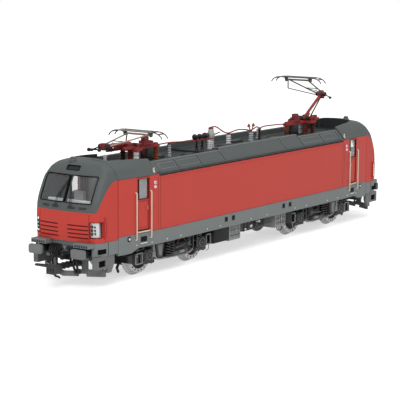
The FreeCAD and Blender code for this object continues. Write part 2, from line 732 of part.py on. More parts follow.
def corner_step():
    """Boxed step under one corner with its tread opening, and the sloping plate behind it."""
    block = box(STEP_X0 + SEAM, STEP_X1, STEP_Y1 - STEP_W, STEP_Y1, STEP_Z0, STEP_Z1)
    tread_z = STEP_Z0 + TREAD_UP
    tread = box(STEP_X0 + TREAD_IN, STEP_X1 - TREAD_IN, STEP_Y1 - TREAD_DEEP, WIDTH,
                tread_z, tread_z + TREAD_H)
    low = STEP_Z0 - FENDER_DROP
    plate = [(STEP_X0, low), (STEP_X0 - FENDER_TOE, low), (STEP_X0 - FENDER_L, STEP_Z0 + FENDER_RISE),
             (STEP_X0 - FENDER_L, STEP_Z1), (STEP_X0, STEP_Z1)]
    return [block.cut(tread), prism(plate, "y", STEP_Y1 - FENDER_W, FENDER_W)]


# Plan of the plough blade.  Columns: x from the beam face, y.
PLOUGH = ((2.8, 0.0), (0.6, 4.0), (-1.1, 8.0), (-4.2, GAP_Y - 1.84))


def plough():
    ahead = [(BEAM_X1 + x, y) for x, y in PLOUGH]
    plan = ahead + [(x - PLOUGH_T, y) for x, y in reversed(ahead)]
    blade = prism(plan, "z", PLOUGH_Z0, PLOUGH_H)
    low = wide(0, LENGTH, PLOUGH_MID_Y, PLOUGH_Z0 + PLOUGH_MID_H, FAR)
    inner, outer, height = PLOUGH_NOTCH
    notch = box(0, LENGTH, inner, outer, 0, PLOUGH_Z0 + height)
    back, forth = PLOUGH_ARM_DX
    arm = box(BEAM_X1 - back, BEAM_X1 - forth, *PLOUGH_ARM, PLOUGH_Z0 + PLOUGH_H / 2, BEAM_Z0 - FIT)
    return fuse(both_sides(cut(blade, low, notch)) + both_sides(arm))


# Route of a brake hose.  Columns: x from the beam face, height under the cab front.
HOSE = ((-0.5, 5.6), (1.6, 5.8), (2.4, 7.4), (2.0, 9.8), (1.2, 11.2))


def hose(y):
    """Stiff moulded brake hose: pipe out of the beam, then down to its coupling."""
    bends = [(BEAM_X1 + x, y, MASK_Z - down) for x, down in HOSE]
    return bent(bends, HOSE_D).cut(wide(0, BEAM_X1, WIDTH, 0, FAR))


def coupler():
    low, high = COUPLER_Z, COUPLER_Z + COUPLER_T
    eye = rod((COUPLER_X, 0, low), (COUPLER_X, 0, high), COUPLER_EYE_D)
    shaft = wide(COUPLER_X, HEAD_X0 + HEAD_L / 2, COUPLER_W / 2, low, high)
    nose = HEAD_X0 + HEAD_L
    plan = [(HEAD_X0, -HEAD_W / 2), (nose, -HEAD_W / 2), (nose, HEAD_W / 4), (nose - HEAD_L / 2, HEAD_W / 2),
            (HEAD_X0, HEAD_W / 2)]
    head = prism(plan, "z", high - HEAD_H, HEAD_H)
    corner = (LOOP_X, LOOP_Y, LOOP_Z)
    root = (HEAD_X0 + HEAD_L / 4, HEAD_W / 2 - LOOP_D / 2, high)
    bar = bent([(LOOP_X, 0, LOOP_Z), corner, root], LOOP_D)
    trip = bent([(HEAD_X0 + x, 0, low + z) for x, z in TRIP], LOOP_D)
    whole = fuse([eye, shaft, head, trip] + both_sides(bar))
    return whole.cut(rod((COUPLER_X, 0, 0), (COUPLER_X, 0, FAR), COUPLER_PIN_D + 2 * RUN))


# ---------------------------------------------------------------- underfloor gear
# Cases under the floor.  Columns: x0 and x1 as shares of CASE_END, depth below the sill.
CASES = (
    (-1.0, -0.643, 6.3),
    (-0.636, -0.361, 6.75),
    (0.252, 0.439, 3.6),
    (0.544, 0.816, 6.1),
    (0.823, 1.0, 5.4),
)


def cases():
    shapes = []
    bay = box(WHEEL_BAY_X, FAR, -WHEEL_BAY_Y, WHEEL_BAY_Y, 0, SILL_Z)
    for from_x, to_x, depth in CASES:
        x0, x1 = CASE_END * from_x, CASE_END * to_x
        case = wide(x0, x1, CASE_Y, SILL_Z - depth, SILL_Z)
        edges = [e for e in case.Edges if abs(e.BoundBox.XLength - (x1 - x0)) < 1e-6
                 and e.BoundBox.ZMax < SILL_Z - depth + 1e-6]
        shapes.append(cut(case.makeFillet(CASE_ROUND, edges), bay, front(bay)))
    return shapes


def air_gear():
    x0, x1 = TANK_X
    z = SILL_Z - TANK_D / 2
    tanks = [rod((x0, y, z), (x1, y, z), TANK_D) for y in TANK_YS]
    straps = [wide(x - STRAP_W / 2, x + STRAP_W / 2, TANK_YS[-1], z, SILL_Z)
              for x in (x0 + STRAP_IN, x1 - STRAP_IN)]
    return fuse(tanks + straps)


# ---------------------------------------------------------------- bogies
def wheelset():
    """Axle and two wheels about the Y axis, centred on the origin."""
    tread, flange = TREAD_D / 2, TREAD_D / 2 + FLANGE_H
    back = BACK_TO_BACK / 2
    face = back + WHEEL_W
    outline = [(0, back), (flange - 2 * EDGE, back), (flange, back + EDGE),
               (flange, back + FLANGE_W - 2 * EDGE), (tread, back + FLANGE_W), (tread, face - EDGE),
               (tread - EDGE, face), (tread - RIM_H, face),
               (tread - RIM_H - EDGE, face - DISH), (HUB_D / 2, face - DISH), (HUB_D / 2, face + HUB_W),
               (0, face + HUB_W)]
    wheel = flat([Vector(r, y, 0) for r, y in outline]).revolve(Vector(0, 0, 0), Vector(0, 1, 0), 360)
    reach = FRAME_Y1 - 2 * EDGE
    axle = rod((0, -reach, 0), (0, reach, 0), AXLE_D)
    return fuse([wheel, across(wheel), axle])


# Outline of a side frame.  Columns: x (towards the middle of the locomotive), z.
FRAME = (
    (-FRAME_OUT, BAR_Z0), (-FRAME_OUT, BAR_Z1 + 0.4), (3.85 - AXLE_X, AXLE_Z + 2.0), (-9.0, FRAME_TOP),
    (9.0, FRAME_TOP), (AXLE_X - 3.85, AXLE_Z + 2.0), (FRAME_IN, AXLE_Z + 1.4), (FRAME_IN, AXLE_Z - 2.2),
    (AXLE_X - 4.65, AXLE_Z - 2.2), (9.6, AXLE_Z - 3.0), (-9.6, AXLE_Z - 3.0), (4.65 - AXLE_X, AXLE_Z - 2.2),
    (3.0 - FRAME_OUT, AXLE_Z - 2.2),
)


def bogie_frame():
    """Gearbox and bolster in the middle, a side frame outside each pair of wheels."""
    gearbox = wide(-GEARBOX_X, GEARBOX_X, GEARBOX_Y, GEARBOX_Z0, GEARBOX_Z1)
    bolster = wide(-BOLSTER_X, BOLSTER_X, FRAME_Y0, AXLE_Z + 1.4, AXLE_Z + 3.6)
    tower = wide(-BOLSTER_X, BOLSTER_X, BOLSTER_X, GEARBOX_Z1 - SEAM, BOLSTER_TOP)
    end_bar = wide(-FRAME_OUT, END_BAR - FRAME_OUT, FRAME_Y1, BAR_Z0, BAR_Z1)
    tongue = wide(-FRAME_OUT, END_BAR - GEARBOX_X, GEARBOX_Y / 2, BAR_Z0, BAR_Z1)
    side = prism(list(FRAME), "y", FRAME_Y0, FRAME_Y1 - FRAME_Y0)
    whole = fuse([gearbox, bolster, tower, end_bar, tongue] + both_sides(side) + both_sides(sand_pipe()))
    bores = [rod((x, -WIDTH, AXLE_Z), (x, WIDTH, AXLE_Z), AXLE_D + 2 * RUN) for x in (-AXLE_X, AXLE_X)]
    pivot = rod((0, 0, GEARBOX_Z1), (0, 0, FAR), BOGIE_PIN_D + 2 * RUN)
    return cut(whole, *bores, pivot)


def axle_boxes():
    """Axle box with its springs on each wheel, and the chest outside the outer one."""
    y = FRAME_Y1 + SPRING_D / 2
    shapes = []
    for x in (-AXLE_X, AXLE_X):
        body = box(x - BOX_W / 2, x + BOX_W / 2, FRAME_Y1, BOX_Y, AXLE_Z - BOX_H / 2, AXLE_Z + BOX_H / 2)
        cover = rod((x, FRAME_Y1, AXLE_Z), (x, BOX_Y + COVER_T, AXLE_Z), COVER_D)
        springs = [rod((x + s, y, SPRING_Z0), (x + s, y, SPRING_Z1), SPRING_D) for s in (-SPRING_X, SPRING_X)]
        arm = box(x - ARM_L / 2, x + ARM_L / 2, FRAME_Y1, y + SPRING_D / 4, ARM_Z, ARM_Z + ARM_H)
        shapes += both_sides(fuse([body, cover, arm] + springs))
    chest = box(-CHEST_X1, -CHEST_X0, FRAME_Y1, BOX_Y, CHEST_Z0, CHEST_Z1)
    return shapes + both_sides(chest)


# Leaning link between the outer axle and the coils.  Columns: x from the outer axle, z from the axle.
LINK = ((4.8, 4.0), (8.0, 4.0), (9.9, 0.8), (10.8, -2.3), (7.6, -2.3), (6.0, 0.8))
# Bracket plate over the damper.  Columns: x, z from the axle.
GUSSET = ((4.4, 4.0), (7.4, 4.0), (5.6, 1.2), (4.6, 1.2))


def links():
    """Leaning link, coil springs, damper and brackets on each side of the bogie."""
    y = FRAME_Y1 + COIL_D / 2
    thick = LINK_Y - FRAME_Y1
    link = prism([(x - AXLE_X, AXLE_Z + z) for x, z in LINK], "y", FRAME_Y1, thick)
    gusset = prism([(x, AXLE_Z + z) for x, z in GUSSET], "y", FRAME_Y1, thick / 2)
    first, second = COIL_XS
    coil = rod((first, y, LINK_Z0), (first, y, FRAME_TOP), COIL_D)
    coil_2 = rod((second, y, LINK_Z0 + COIL_LOW), (second, y, FRAME_TOP), COIL_D)
    damper = rod((DAMPER_X[0], y, DAMPER_Z[0]), (DAMPER_X[1], y, DAMPER_Z[1]), DAMPER_D)
    bracket = box(FRAME_IN - BRACKET_W, FRAME_IN, FRAME_Y1, LINK_Y, BRACKET_Z0, BRACKET_Z1)
    one = [link, gusset, coil, fuse([coil_2, damper]), bracket]
    return [s for shape in one for s in both_sides(shape)]


def sand_pipe():
    high, mid, low = PIPE_ZS
    points = [(-FRAME_OUT + PIPE_D / 2, PIPE_Y, high), (-FRAME_OUT - PIPE_REACH, PIPE_Y, mid),
              (-FRAME_OUT - PIPE_REACH / 2, PIPE_Y, low)]
    return bent(points, PIPE_D)


# ---------------------------------------------------------------- roof gear
# Roof insulators.  Columns: x, y, foot over the deck, top over the deck, diameter.
INSULATORS = (
    (2.5 - ROOF_MID_X, 0.0, 0.0, 4.9, 2.0),
    (-39.0, 0.0, 0.0, 5.0, 1.6),
    (-14.4, -2.2, 0.8, 4.2, 1.8),
    (-10.2, 0.0, 0.8, 8.9, 3.0),
    (2.7, 0.0, 0.8, 5.2, 2.2),
    (19.8, 0.0, 0.8, 4.7, 2.2),
    (26.4, 0.0, 0.8, 5.3, 1.6),
)
# Roof conductor, front part and rear part.  Columns: x, height over the deck.
CONDUCTORS = (
    ((-FOOT_X[0], 5.4), (-39.0, 5.4), (-13.0, 4.6)),
    ((-10.2, 9.3), (-6.6, 8.8), (2.7, 5.6), (19.8, 5.1), (26.4, 5.7), (FOOT_X[0], 5.4)),
)


def insulators():
    shapes = []
    for x, y, foot, top, d in INSULATORS:
        z0, z1 = DECK_Z + foot, DECK_Z + top
        core = rod((x, y, z0), (x, y, z1), d * 0.62)
        count = max(2, round((z1 - z0) / SHED_PITCH))
        step = (z1 - z0) / (count + 0.4)
        sheds = [rod((x, y, z0 + step * (i + 0.3)), (x, y, z0 + step * (i + 0.7)), d) for i in range(count)]
        shapes.append(fuse([core] + sheds))
    return shapes


def conductor():
    near = pantograph_base()
    supports = insulators() + [breaker(), near, front(near)]
    wires = [bent([(x, 0, DECK_Z + up) for x, up in route], CONDUCTOR_D) for route in CONDUCTORS]
    return [wire.cut(supports) for wire in wires]


# Circuit breaker: a lying body with three collars, beside the main insulator.
# Columns: x0, x1, diameter.
BREAKER = ((-22.6, -12.6, 1.8), (-22.8, -21.6, 3.0), (-19.0, -17.8, 3.0), (-15.0, -13.8, 3.0))
BREAKER_UP = 6.2
BREAKER_POSTS = (-20.4, -16.4)


def breaker():
    z = DECK_Z + BREAKER_UP
    bars = [rod((x0, 0, z), (x1, 0, z), d) for x0, x1, d in BREAKER]
    posts = [rod((x, 0, DECK_MID_Z), (x, 0, z), BREAKER[0][2] / 2) for x in BREAKER_POSTS]
    return fuse(bars + posts)


# ---------------------------------------------------------------- pantographs
def polar(origin, length, degrees):
    angle = math.radians(degrees)
    return (origin[0] + length * math.cos(angle), origin[1] + length * math.sin(angle))


def spot(point, y=0.0):
    return (point[0], y, point[1])


def crossbar(point, y0, y1, d):
    return rod(spot(point, y0), spot(point, y1), d)


def pantograph_points(raised):
    lower = PAN_RAISED if raised else PAN_FOLDED
    upper = UPPER_RAISED if raised else UPPER_FOLDED
    knee = polar(PAN_PIVOT, PAN_LOWER, lower)
    return knee, polar(knee, PAN_UPPER, upper), polar(knee, -PAN_TAIL, upper)


# Blocks of the pantograph's drive, on and under its base, alike on both sides.
# Columns: x0 and x1 from the pivot, y0, y1, z0 and z1 over the deck.
DRIVE = (
    (-10.8, -6.2, 0.0, 1.6, 4.8, 9.6),
    (-13.0, -10.8, 0.0, 1.2, 4.8, 7.6),
    (-12.0, -6.4, 0.0, 2.0, 0.0, 4.8),
    (-1.8, 2.2, 0.0, 1.6, 0.0, 4.8),
    (1.4, 7.6, 1.3, 3.0, 4.8, 8.2),
)


def pantograph_base():
    """Frame on three insulated feet, with its drive, the springs beside the arm and both bearings."""
    px, pz = PAN_PIVOT
    rx, rz = PAN_ROD_FOOT
    top = BASE_Z + BASE_T
    solids = []
    for x, y in ((FOOT_X[0], 0.0), (FOOT_X[1], FOOT_Y), (FOOT_X[1], -FOOT_Y)):
        solids.append(rod((x, y, DECK_Z), (x, y, BASE_Z), FOOT_D * 0.6))
        for i in range(4):
            z = DECK_Z + SHED_PITCH * i + SHED_T
            solids.append(rod((x, y, z), (x, y, z + SHED_T), FOOT_D))
    solids.append(wide(FOOT_X[0] - FOOT_D / 2, FOOT_X[1] + FOOT_D / 2, BASE_Y, BASE_Z, top))
    solids.append(wide(FOOT_X[1] - FOOT_D, FOOT_X[1] + FOOT_D / 2, FOOT_Y + FOOT_D / 2, BASE_Z, top))
    for x0, x1, y0, y1, z0, z1 in DRIVE:
        solids += both_sides(box(px + x0, px + x1, y0, y1, DECK_Z + z0, DECK_Z + z1))
    cheek_y = HUB_Y + CHEEK_GAP
    cheek = box(px - BASE_Y, px + BASE_Y, cheek_y, cheek_y + CHEEK_T, BASE_Z, pz + EYE_D / 2)
    solids += both_sides(cheek)
    solids.append(crossbar(PAN_PIVOT, -cheek_y - CHEEK_T / 2, cheek_y + CHEEK_T / 2, PAN_PIN_D))
    ear_y = ROD_Y + EYE_D / 2
    solids.append(box(FOOT_X[1], rx + EYE_D / 2, ear_y - CHEEK_GAP, ear_y + CHEEK_T,
                      BASE_Z, BASE_Z + CHEEK_T))
    solids.append(box(rx - EYE_D / 2, rx + EYE_D / 2, ear_y, ear_y + CHEEK_T, BASE_Z, rz + EYE_D / 2))
    solids.append(crossbar(PAN_ROD_FOOT, ROD_Y - CHEEK_GAP, ear_y + CHEEK_T / 2, PAN_PIN_D * 0.8))
    return fuse(solids)


def lower_arm(raised):
    """Single tube from its hub to the knee block."""
    knee = pantograph_points(raised)[0]
    angle = PAN_RAISED if raised else PAN_FOLDED
    sleeve_end = polar(PAN_PIVOT, PAN_LOWER * SLEEVE_SHARE, angle)
    parts = [crossbar(PAN_PIVOT, -HUB_Y, HUB_Y, EYE_D * 0.9), rod(spot(PAN_PIVOT), spot(knee), ARM_D),
             rod(spot(PAN_PIVOT), spot(sleeve_end), FOOT_SLEEVE_D), crossbar(knee, -KNEE_Y, KNEE_Y, KNEE_D)]
    far = UPPER_EYE_Y[1] + SEAM
    arm = fuse(parts).cut(crossbar(PAN_PIVOT, -WIDTH, WIDTH, PAN_PIN_D + 2 * RUN))
    return arm.fuse(crossbar(knee, -far, far, PAN_PIN_D)).removeSplitter()


def upper_arm(raised):
    """Two tubes that spread from the knee to the head, with a lever behind the knee."""
    knee, head, tail = pantograph_points(raised)
    angle = UPPER_RAISED if raised else UPPER_FOLDED
    near, far = UPPER_EYE_Y
    eye_y = (near + far) / 2
    brace = polar(knee, PAN_UPPER * UPPER_BRACE, angle)
    brace_y = eye_y + (UPPER_Y - eye_y) * UPPER_BRACE
    hub_y = UPPER_Y + UPPER_D / 2 + 2 * SEAM
    parts = [crossbar(head, -hub_y, hub_y, PAN_PIN_D), crossbar(brace, -brace_y, brace_y, THIN_D)]
    parts += both_sides(rod(spot(knee, eye_y), spot(head, UPPER_Y), UPPER_D))
    parts += both_sides(crossbar(knee, near, far, EYE_D))
    parts += [rod(spot(knee, eye_y), spot(tail, eye_y), THIN_D), crossbar(tail, near, far, EYE_D * 0.7)]
    return fuse(parts).cut(crossbar(knee, -WIDTH, WIDTH, PAN_PIN_D + 2 * RUN))


def pan_head(raised):
    """Two contact strips on a rocking frame, with horns that turn down at the ends."""
    hx, hz = pantograph_points(raised)[1]
    top = hz + STRIP_UP
    mid = top - STRIP_T / 2
    solids = []
    for x in (hx - STRIP_GAP / 2, hx + STRIP_GAP / 2):
        solids.append(wide(x - STRIP_W / 2, x + STRIP_W / 2, BOW_Y * 0.62, top - STRIP_T, top))
        horn = [(x, BOW_Y * 0.6, mid), (x, BOW_Y * 0.85, mid - BOW_DROP / 4), (x, BOW_Y, mid - BOW_DROP)]
        solids += both_sides(bent(horn, THIN_D))
    for y in (BOW_Y * 0.36, BOW_Y * 0.85):
        z = mid if y < BOW_Y * 0.6 else mid - BOW_DROP / 4
        solids += both_sides(rod((hx - STRIP_GAP / 2, y, z), (hx + STRIP_GAP / 2, y, z), THIN_D))
    far_y = HANGER_Y + HANGER_T
    hanger = fuse([crossbar((hx, hz), HANGER_Y, far_y, EYE_D * 0.9),
                   box(hx - STRIP_W / 2, hx + STRIP_W / 2, HANGER_Y, far_y, hz, mid),
                   box(hx - STRIP_GAP / 2, hx + STRIP_GAP / 2, HANGER_Y, far_y, top - STRIP_T, mid)])
    return fuse(solids + both_sides(hanger))


def pan_rod(raised):
    """Thin rod from the base to the tail of the upper arm."""
    tail = pantograph_points(raised)[2]
    low, high = ROD_Y - ROD_EYE, ROD_Y + ROD_EYE
    parts = [rod(spot(PAN_ROD_FOOT, ROD_Y), spot(tail, ROD_Y), THIN_D),
             crossbar(PAN_ROD_FOOT, low, high, EYE_D * 0.9), crossbar(tail, low, high, EYE_D * 0.7)]
    return fuse(parts).cut(crossbar(PAN_ROD_FOOT, 0, WIDTH, PAN_PIN_D * 0.8 + 2 * RUN))


def build():
    os.makedirs("parts", exist_ok=True)
    wall, panels = side_wall(), roof_panels()
    save("side_wall_left", across(wall))
    save("side_wall_right", wall)
    save("roof_panels_left", across(panels))
    save("roof_panels_right", panels)
    save("roof_deck", roof_deck())
    for name, shape in (("doors", door()), ("door_glass", door_pane())):
        save(name, [s for e in both_ends(shape) for s in both_sides(e)])
    rails = [handrail(x) for x in RAIL_XS]
    save("handrails", [s for r in rails for e in both_ends(r) for s in both_sides(e)])
    mask = cab_mask()
    save("cab_mask_rear", mask)
    save("cab_mask_front", front(across(mask)))
    end_pieces = (("windscreen", screen_glass()), ("lamps", lamps()),
                  ("cab_roof", [cab_roof()]), ("cab_interior", [cab_interior()]),
                  ("end_beam", [end_beam()]), ("buffers", both_sides(buffer())),
                  ("corner_steps", [s for shape in corner_step() for s in both_sides(shape)]),
                  ("plough", [plough()]), ("hoses", [hose(y) for y in HOSE_YS]), ("coupler", [coupler()]),
                  ("pantograph_base", [pantograph_base()]))
    for name, shapes in end_pieces:
        save(name + "_rear", shapes)
        save(name + "_front", [front(s) for s in shapes])
    for name, make in (("lower_arm", lower_arm), ("upper_arm", upper_arm),
                       ("contact_head", pan_head), ("guide_rod", pan_rod)):
        save(name + "_rear", make(True))
        save(name + "_front", front(make(False)))
    for name, shapes in (("underframe", [underframe()]), ("weight", [weight()]),
                         ("underfloor_cases", cases()), ("air_gear", [air_gear()]),
                         ("roof_insulators", insulators()), ("roof_conductor", conductor()),
                         ("circuit_breaker", [breaker()])):
        save(name, shapes)
    bogie = (("bogie_frame", [bogie_frame()]), ("axle_boxes", axle_boxes()), ("bogie_links", links()))
    for name, shapes in bogie:
        save(name + "_rear", [move(front(s), PIVOT_X) for s in shapes])
        save(name + "_front", [move(s, -PIVOT_X) for s in shapes])
    axle = wheelset()
    places = [side + x for side in (-PIVOT_X, PIVOT_X) for x in (-AXLE_X, AXLE_X)]
    for number, x in enumerate(places, 1):
        save("wheelset_%d" % number, move(axle, x, AXLE_Z))


build()
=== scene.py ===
import bmesh
import bpy
import math
from mathutils import Matrix, Vector


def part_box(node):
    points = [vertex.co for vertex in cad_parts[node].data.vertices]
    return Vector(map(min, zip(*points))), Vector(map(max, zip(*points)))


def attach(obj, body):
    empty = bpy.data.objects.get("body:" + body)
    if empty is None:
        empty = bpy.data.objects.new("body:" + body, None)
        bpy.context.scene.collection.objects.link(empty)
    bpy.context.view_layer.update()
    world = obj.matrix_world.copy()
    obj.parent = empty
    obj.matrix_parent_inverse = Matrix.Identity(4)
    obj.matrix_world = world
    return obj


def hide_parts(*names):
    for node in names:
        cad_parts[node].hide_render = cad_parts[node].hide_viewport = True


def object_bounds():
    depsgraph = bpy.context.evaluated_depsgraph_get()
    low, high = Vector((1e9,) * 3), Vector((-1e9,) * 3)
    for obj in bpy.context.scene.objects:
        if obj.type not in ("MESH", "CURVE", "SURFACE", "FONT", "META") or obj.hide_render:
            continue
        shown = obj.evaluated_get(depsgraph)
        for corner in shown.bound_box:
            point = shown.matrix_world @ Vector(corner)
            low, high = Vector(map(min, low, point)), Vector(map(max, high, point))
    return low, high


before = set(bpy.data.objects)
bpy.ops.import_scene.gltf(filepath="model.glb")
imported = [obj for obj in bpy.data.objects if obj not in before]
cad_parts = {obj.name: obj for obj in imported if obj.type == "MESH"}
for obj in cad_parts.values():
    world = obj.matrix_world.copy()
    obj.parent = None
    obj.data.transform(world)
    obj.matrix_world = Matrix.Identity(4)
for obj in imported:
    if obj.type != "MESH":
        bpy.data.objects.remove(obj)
cad_box = [list(corner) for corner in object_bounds()]

# All lengths below are millimetres in the frame of the model; Mesh.emit turns them into metres.
MM = 0.001
ENDS = {"front": -1, "rear": 1}


def node_box(node):
    """Lower and upper corner of the box around one solid, in millimetres."""
    low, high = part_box(node)
    return low / MM, high / MM


wall_low, wall_high = node_box("side_wall_right")
nose_low, nose_high = node_box("cab_mask_rear")
SEAM = 0.1
GAP_X = wall_high.x + SEAM        # joint between the side wall and the cab front
WALL_Z = wall_low.z
ROOF_Z = node_box("roof_panels_right")[0].z
EAVES_Z = wall_high.z + SEAM      # top of the side walls beside the cabs
HALF_W = wall_high.y
MASK_Z = nose_low.z
TAPER_X = node_box("cab_roof_rear")[0].x      # where the sides start to draw in
GAP_Y = nose_high.y               # half width at the joint
SCREEN_Z0, SCREEN_Z1 = MASK_Z + 14.1, ROOF_Z + 2.3
SCREEN_Y = GAP_Y - 3.84
LAMP_Y = GAP_Y - 3.84
WALL = 1.2


# ---------------------------------------------------------------- mesh helpers
class Mesh:
    """A piece built from many closed parts, in millimetres."""

    def __init__(self):
        self.bm = bmesh.new()

    def take(self, bm):
        """Adds the faces of bm and frees it."""
        data = bpy.data.meshes.new("part")
        bm.to_mesh(data)
        bm.free()
        self.bm.from_mesh(data)
        bpy.data.meshes.remove(data)

    def box(self, x0, x1, y0, y1, z0, z1, r=0.15):
        """Block with its edges rounded by r."""
        bm = bmesh.new()
        size = (abs(x1 - x0), abs(y1 - y0), abs(z1 - z0))
        centre = Vector(((x0 + x1) / 2, (y0 + y1) / 2, (z0 + z1) / 2))
        bmesh.ops.create_cube(bm, size=1.0)
        bmesh.ops.scale(bm, vec=size, verts=bm.verts)
        r = min(r, 0.45 * min(size))
        if r > 0:
            bmesh.ops.bevel(bm, geom=bm.edges[:], offset=r, segments=2, profile=0.6, affect="EDGES")
        bmesh.ops.translate(bm, vec=centre, verts=bm.verts)
        self.take(bm)

    def prism(self, points, axis, low, high, r=0.12):
        """Outline pushed along an axis: (x, z) for y, (y, z) for x, (x, y) for z."""
        place = {"x": lambda p, t: (t, p[0], p[1]), "y": lambda p, t: (p[0], t, p[1]),
                 "z": lambda p, t: (p[0], p[1], t)}[axis]
        bm = bmesh.new()
        rings = [[bm.verts.new(place(p, t)) for p in points] for t in (low, high)]
        bm.faces.new(rings[0])
        bm.faces.new(list(reversed(rings[1])))
        for i in range(len(points)):
            j = (i + 1) % len(points)
            bm.faces.new((rings[0][i], rings[1][i], rings[1][j], rings[0][j]))
        bmesh.ops.recalc_face_normals(bm, faces=bm.faces)
        if r > 0:
            bmesh.ops.bevel(bm, geom=bm.edges[:], offset=r, segments=2, profile=0.6, affect="EDGES")
        self.take(bm)

    def sweep(self, path, ring, closed=False):
        """Closed cross section (a list of (a, b) offsets) carried along a path."""
        path = [Vector(p) for p in path]
        count = len(path)
        rings = []
        side = None
        for i, p in enumerate(path):
            ahead = path[(i + 1) % count] if closed or i < count - 1 else p
            behind = path[i - 1] if closed or i > 0 else p
            run = (ahead - behind).normalized()
            if side is None:
                up = Vector((0, 0, 1)) if abs(run.z) < 0.9 else Vector((0, 1, 0))
                side = run.cross(up).normalized()
            side = (side - run * side.dot(run)).normalized()
            top = side.cross(run)
            rings.append([p + side * a + top * b for a, b in ring])
        self.loft(rings, closed)

    def loft(self, rings, closed=False):
        """Skin over rings of points; an open run gets a face at each end."""
        bm = bmesh.new()
        rings = [[bm.verts.new(p) for p in ring] for ring in rings]
        pairs = list(zip(rings, rings[1:])) + ([(rings[-1], rings[0])] if closed else [])
        for near, far in pairs:
            for k in range(len(near)):
                m = (k + 1) % len(near)
                bm.faces.new((near[k], near[m], far[m], far[k]))
        if not closed:
            bm.faces.new(list(reversed(rings[0])))
            bm.faces.new(rings[-1])
        bmesh.ops.recalc_face_normals(bm, faces=bm.faces)
        self.take(bm)

    def strip(self, points, wide, thick, closed=False):
        """Bar carried along a line: `wide` across the surface, `thick` standing off it."""
        a, b = wide / 2, thick / 2
        self.sweep(points, [(-a, -b), (a, -b), (a, b), (-a, b)], closed)

    def tube(self, path, d, sides=10, closed=False):
        """Round bar of diameter d carried along a path."""
        ring = [(d / 2 * math.cos(2 * math.pi * k / sides), d / 2 * math.sin(2 * math.pi * k / sides))
                for k in range(sides)]
        self.sweep(path, ring, closed)

    def lathe(self, profile, centre, axis="y", sides=40):
        """Closed profile of (radius, distance along the axis), turned about an axis through centre."""
        bm = bmesh.new()
        spin = {"x": lambda r, t, c, s: (t, r * c, r * s), "y": lambda r, t, c, s: (r * c, t, r * s),
                "z": lambda r, t, c, s: (r * c, r * s, t)}[axis]
        rings = []
        for k in range(sides):
            a = 2 * math.pi * k / sides
            rings.append([Vector(spin(r, t, math.cos(a), math.sin(a))) + Vector(centre) for r, t in profile])
        verts = []
        poles = {}
        for ring in rings:
            row = []
            for j, p in enumerate(ring):
                if profile[j][0] < 1e-6:
                    if j not in poles:
                        poles[j] = bm.verts.new(p)
                    row.append(poles[j])
                else:
                    row.append(bm.verts.new(p))
            verts.append(row)
        for k in range(sides):
            near, far = verts[k], verts[(k + 1) % sides]
            for j in range(len(profile) - 1):
                loop = []
                for v in (near[j], near[j + 1], far[j + 1], far[j]):
                    if v not in loop:
                        loop.append(v)
                if len(loop) > 2:
                    bm.faces.new(loop)
        bmesh.ops.recalc_face_normals(bm, faces=bm.faces)
        self.take(bm)

    def shell(self, outer, inner):
        """Closed wall between two grids of the same size; both are open sheets."""
        bm = bmesh.new()
        a = [[bm.verts.new(p) for p in row] for row in outer]
        b = [[bm.verts.new(p) for p in row] for row in inner]
        rows, cols = len(a), len(a[0])
        for i in range(rows - 1):
            for k in range(cols - 1):
                bm.faces.new((a[i][k], a[i][k + 1], a[i + 1][k + 1], a[i + 1][k]))
                bm.faces.new((b[i][k], b[i + 1][k], b[i + 1][k + 1], b[i][k + 1]))
        edge = ([(i, 0) for i in range(rows)] + [(rows - 1, k) for k in range(1, cols)]
                + [(i, cols - 1) for i in range(rows - 2, -1, -1)] + [(0, k) for k in range(cols - 2, 0, -1)])
        for (i, k), (m, n) in zip(edge, edge[1:] + edge[:1]):
            bm.faces.new((a[i][k], a[m][n], b[m][n], b[i][k]))
        bmesh.ops.recalc_face_normals(bm, faces=bm.faces)
        self.take(bm)

    def mirror(self, x=1, y=1):
        """Adds a mirrored copy of all that is in the piece so far."""
        copy = self.bm.copy()
        bmesh.ops.scale(copy, vec=(x, y, 1), verts=copy.verts)
        bmesh.ops.reverse_faces(copy, faces=copy.faces)
        self.take(copy)

    def flip(self, sign):
        """Moves the piece to the other end of the model."""
        if sign < 0:
            bmesh.ops.scale(self.bm, vec=(-1, 1, 1), verts=self.bm.verts)
            bmesh.ops.reverse_faces(self.bm, faces=self.bm.faces)

    def shift(self, x):
        """Moves the piece along the model."""
        bmesh.ops.translate(self.bm, vec=(x, 0, 0), verts=self.bm.verts)

    def emit(self, name, body, material, slot, replaces=(), angle=35, cutters=None):
        """Makes the object, cuts it where cutters are given, and hands it to the frame."""
        piece = self.raw(name)
        if cutters is not None:
            piece.data = carved(piece, cutters.raw(name + "_tool"))
            piece.data.name = name
            piece.modifiers.clear()
        piece.data.materials.clear()
        piece.data.materials.append(material)
        piece.data.shade_smooth()
        piece.data.set_sharp_from_angle(angle=math.radians(angle))
        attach(piece, body)
        if replaces:
            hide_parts(*replaces)
        return piece

    def raw(self, name):
        """The piece as a plain object, in metres."""
        bmesh.ops.scale(self.bm, vec=(MM, MM, MM), verts=self.bm.verts)
        data = bpy.data.meshes.new(name)
        self.bm.to_mesh(data)
        self.bm.free()
        piece = bpy.data.objects.new(name, data)
        bpy.context.collection.objects.link(piece)
        return piece


def carved(piece, *tools):
    """Mesh that is left of a piece when the tools are cut away one after the other."""
    for count, tool in enumerate(tools):
        modifier = piece.modifiers.new("cut", "BOOLEAN")
        modifier.operation = "DIFFERENCE"
        modifier.solver = "EXACT"
        modifier.use_self = count > 0
        modifier.object = tool
    graph = bpy.context.evaluated_depsgraph_get()
    left = bpy.data.meshes.new_from_object(piece.evaluated_get(graph))
    for tool in tools:
        bpy.data.objects.remove(tool)
    return left


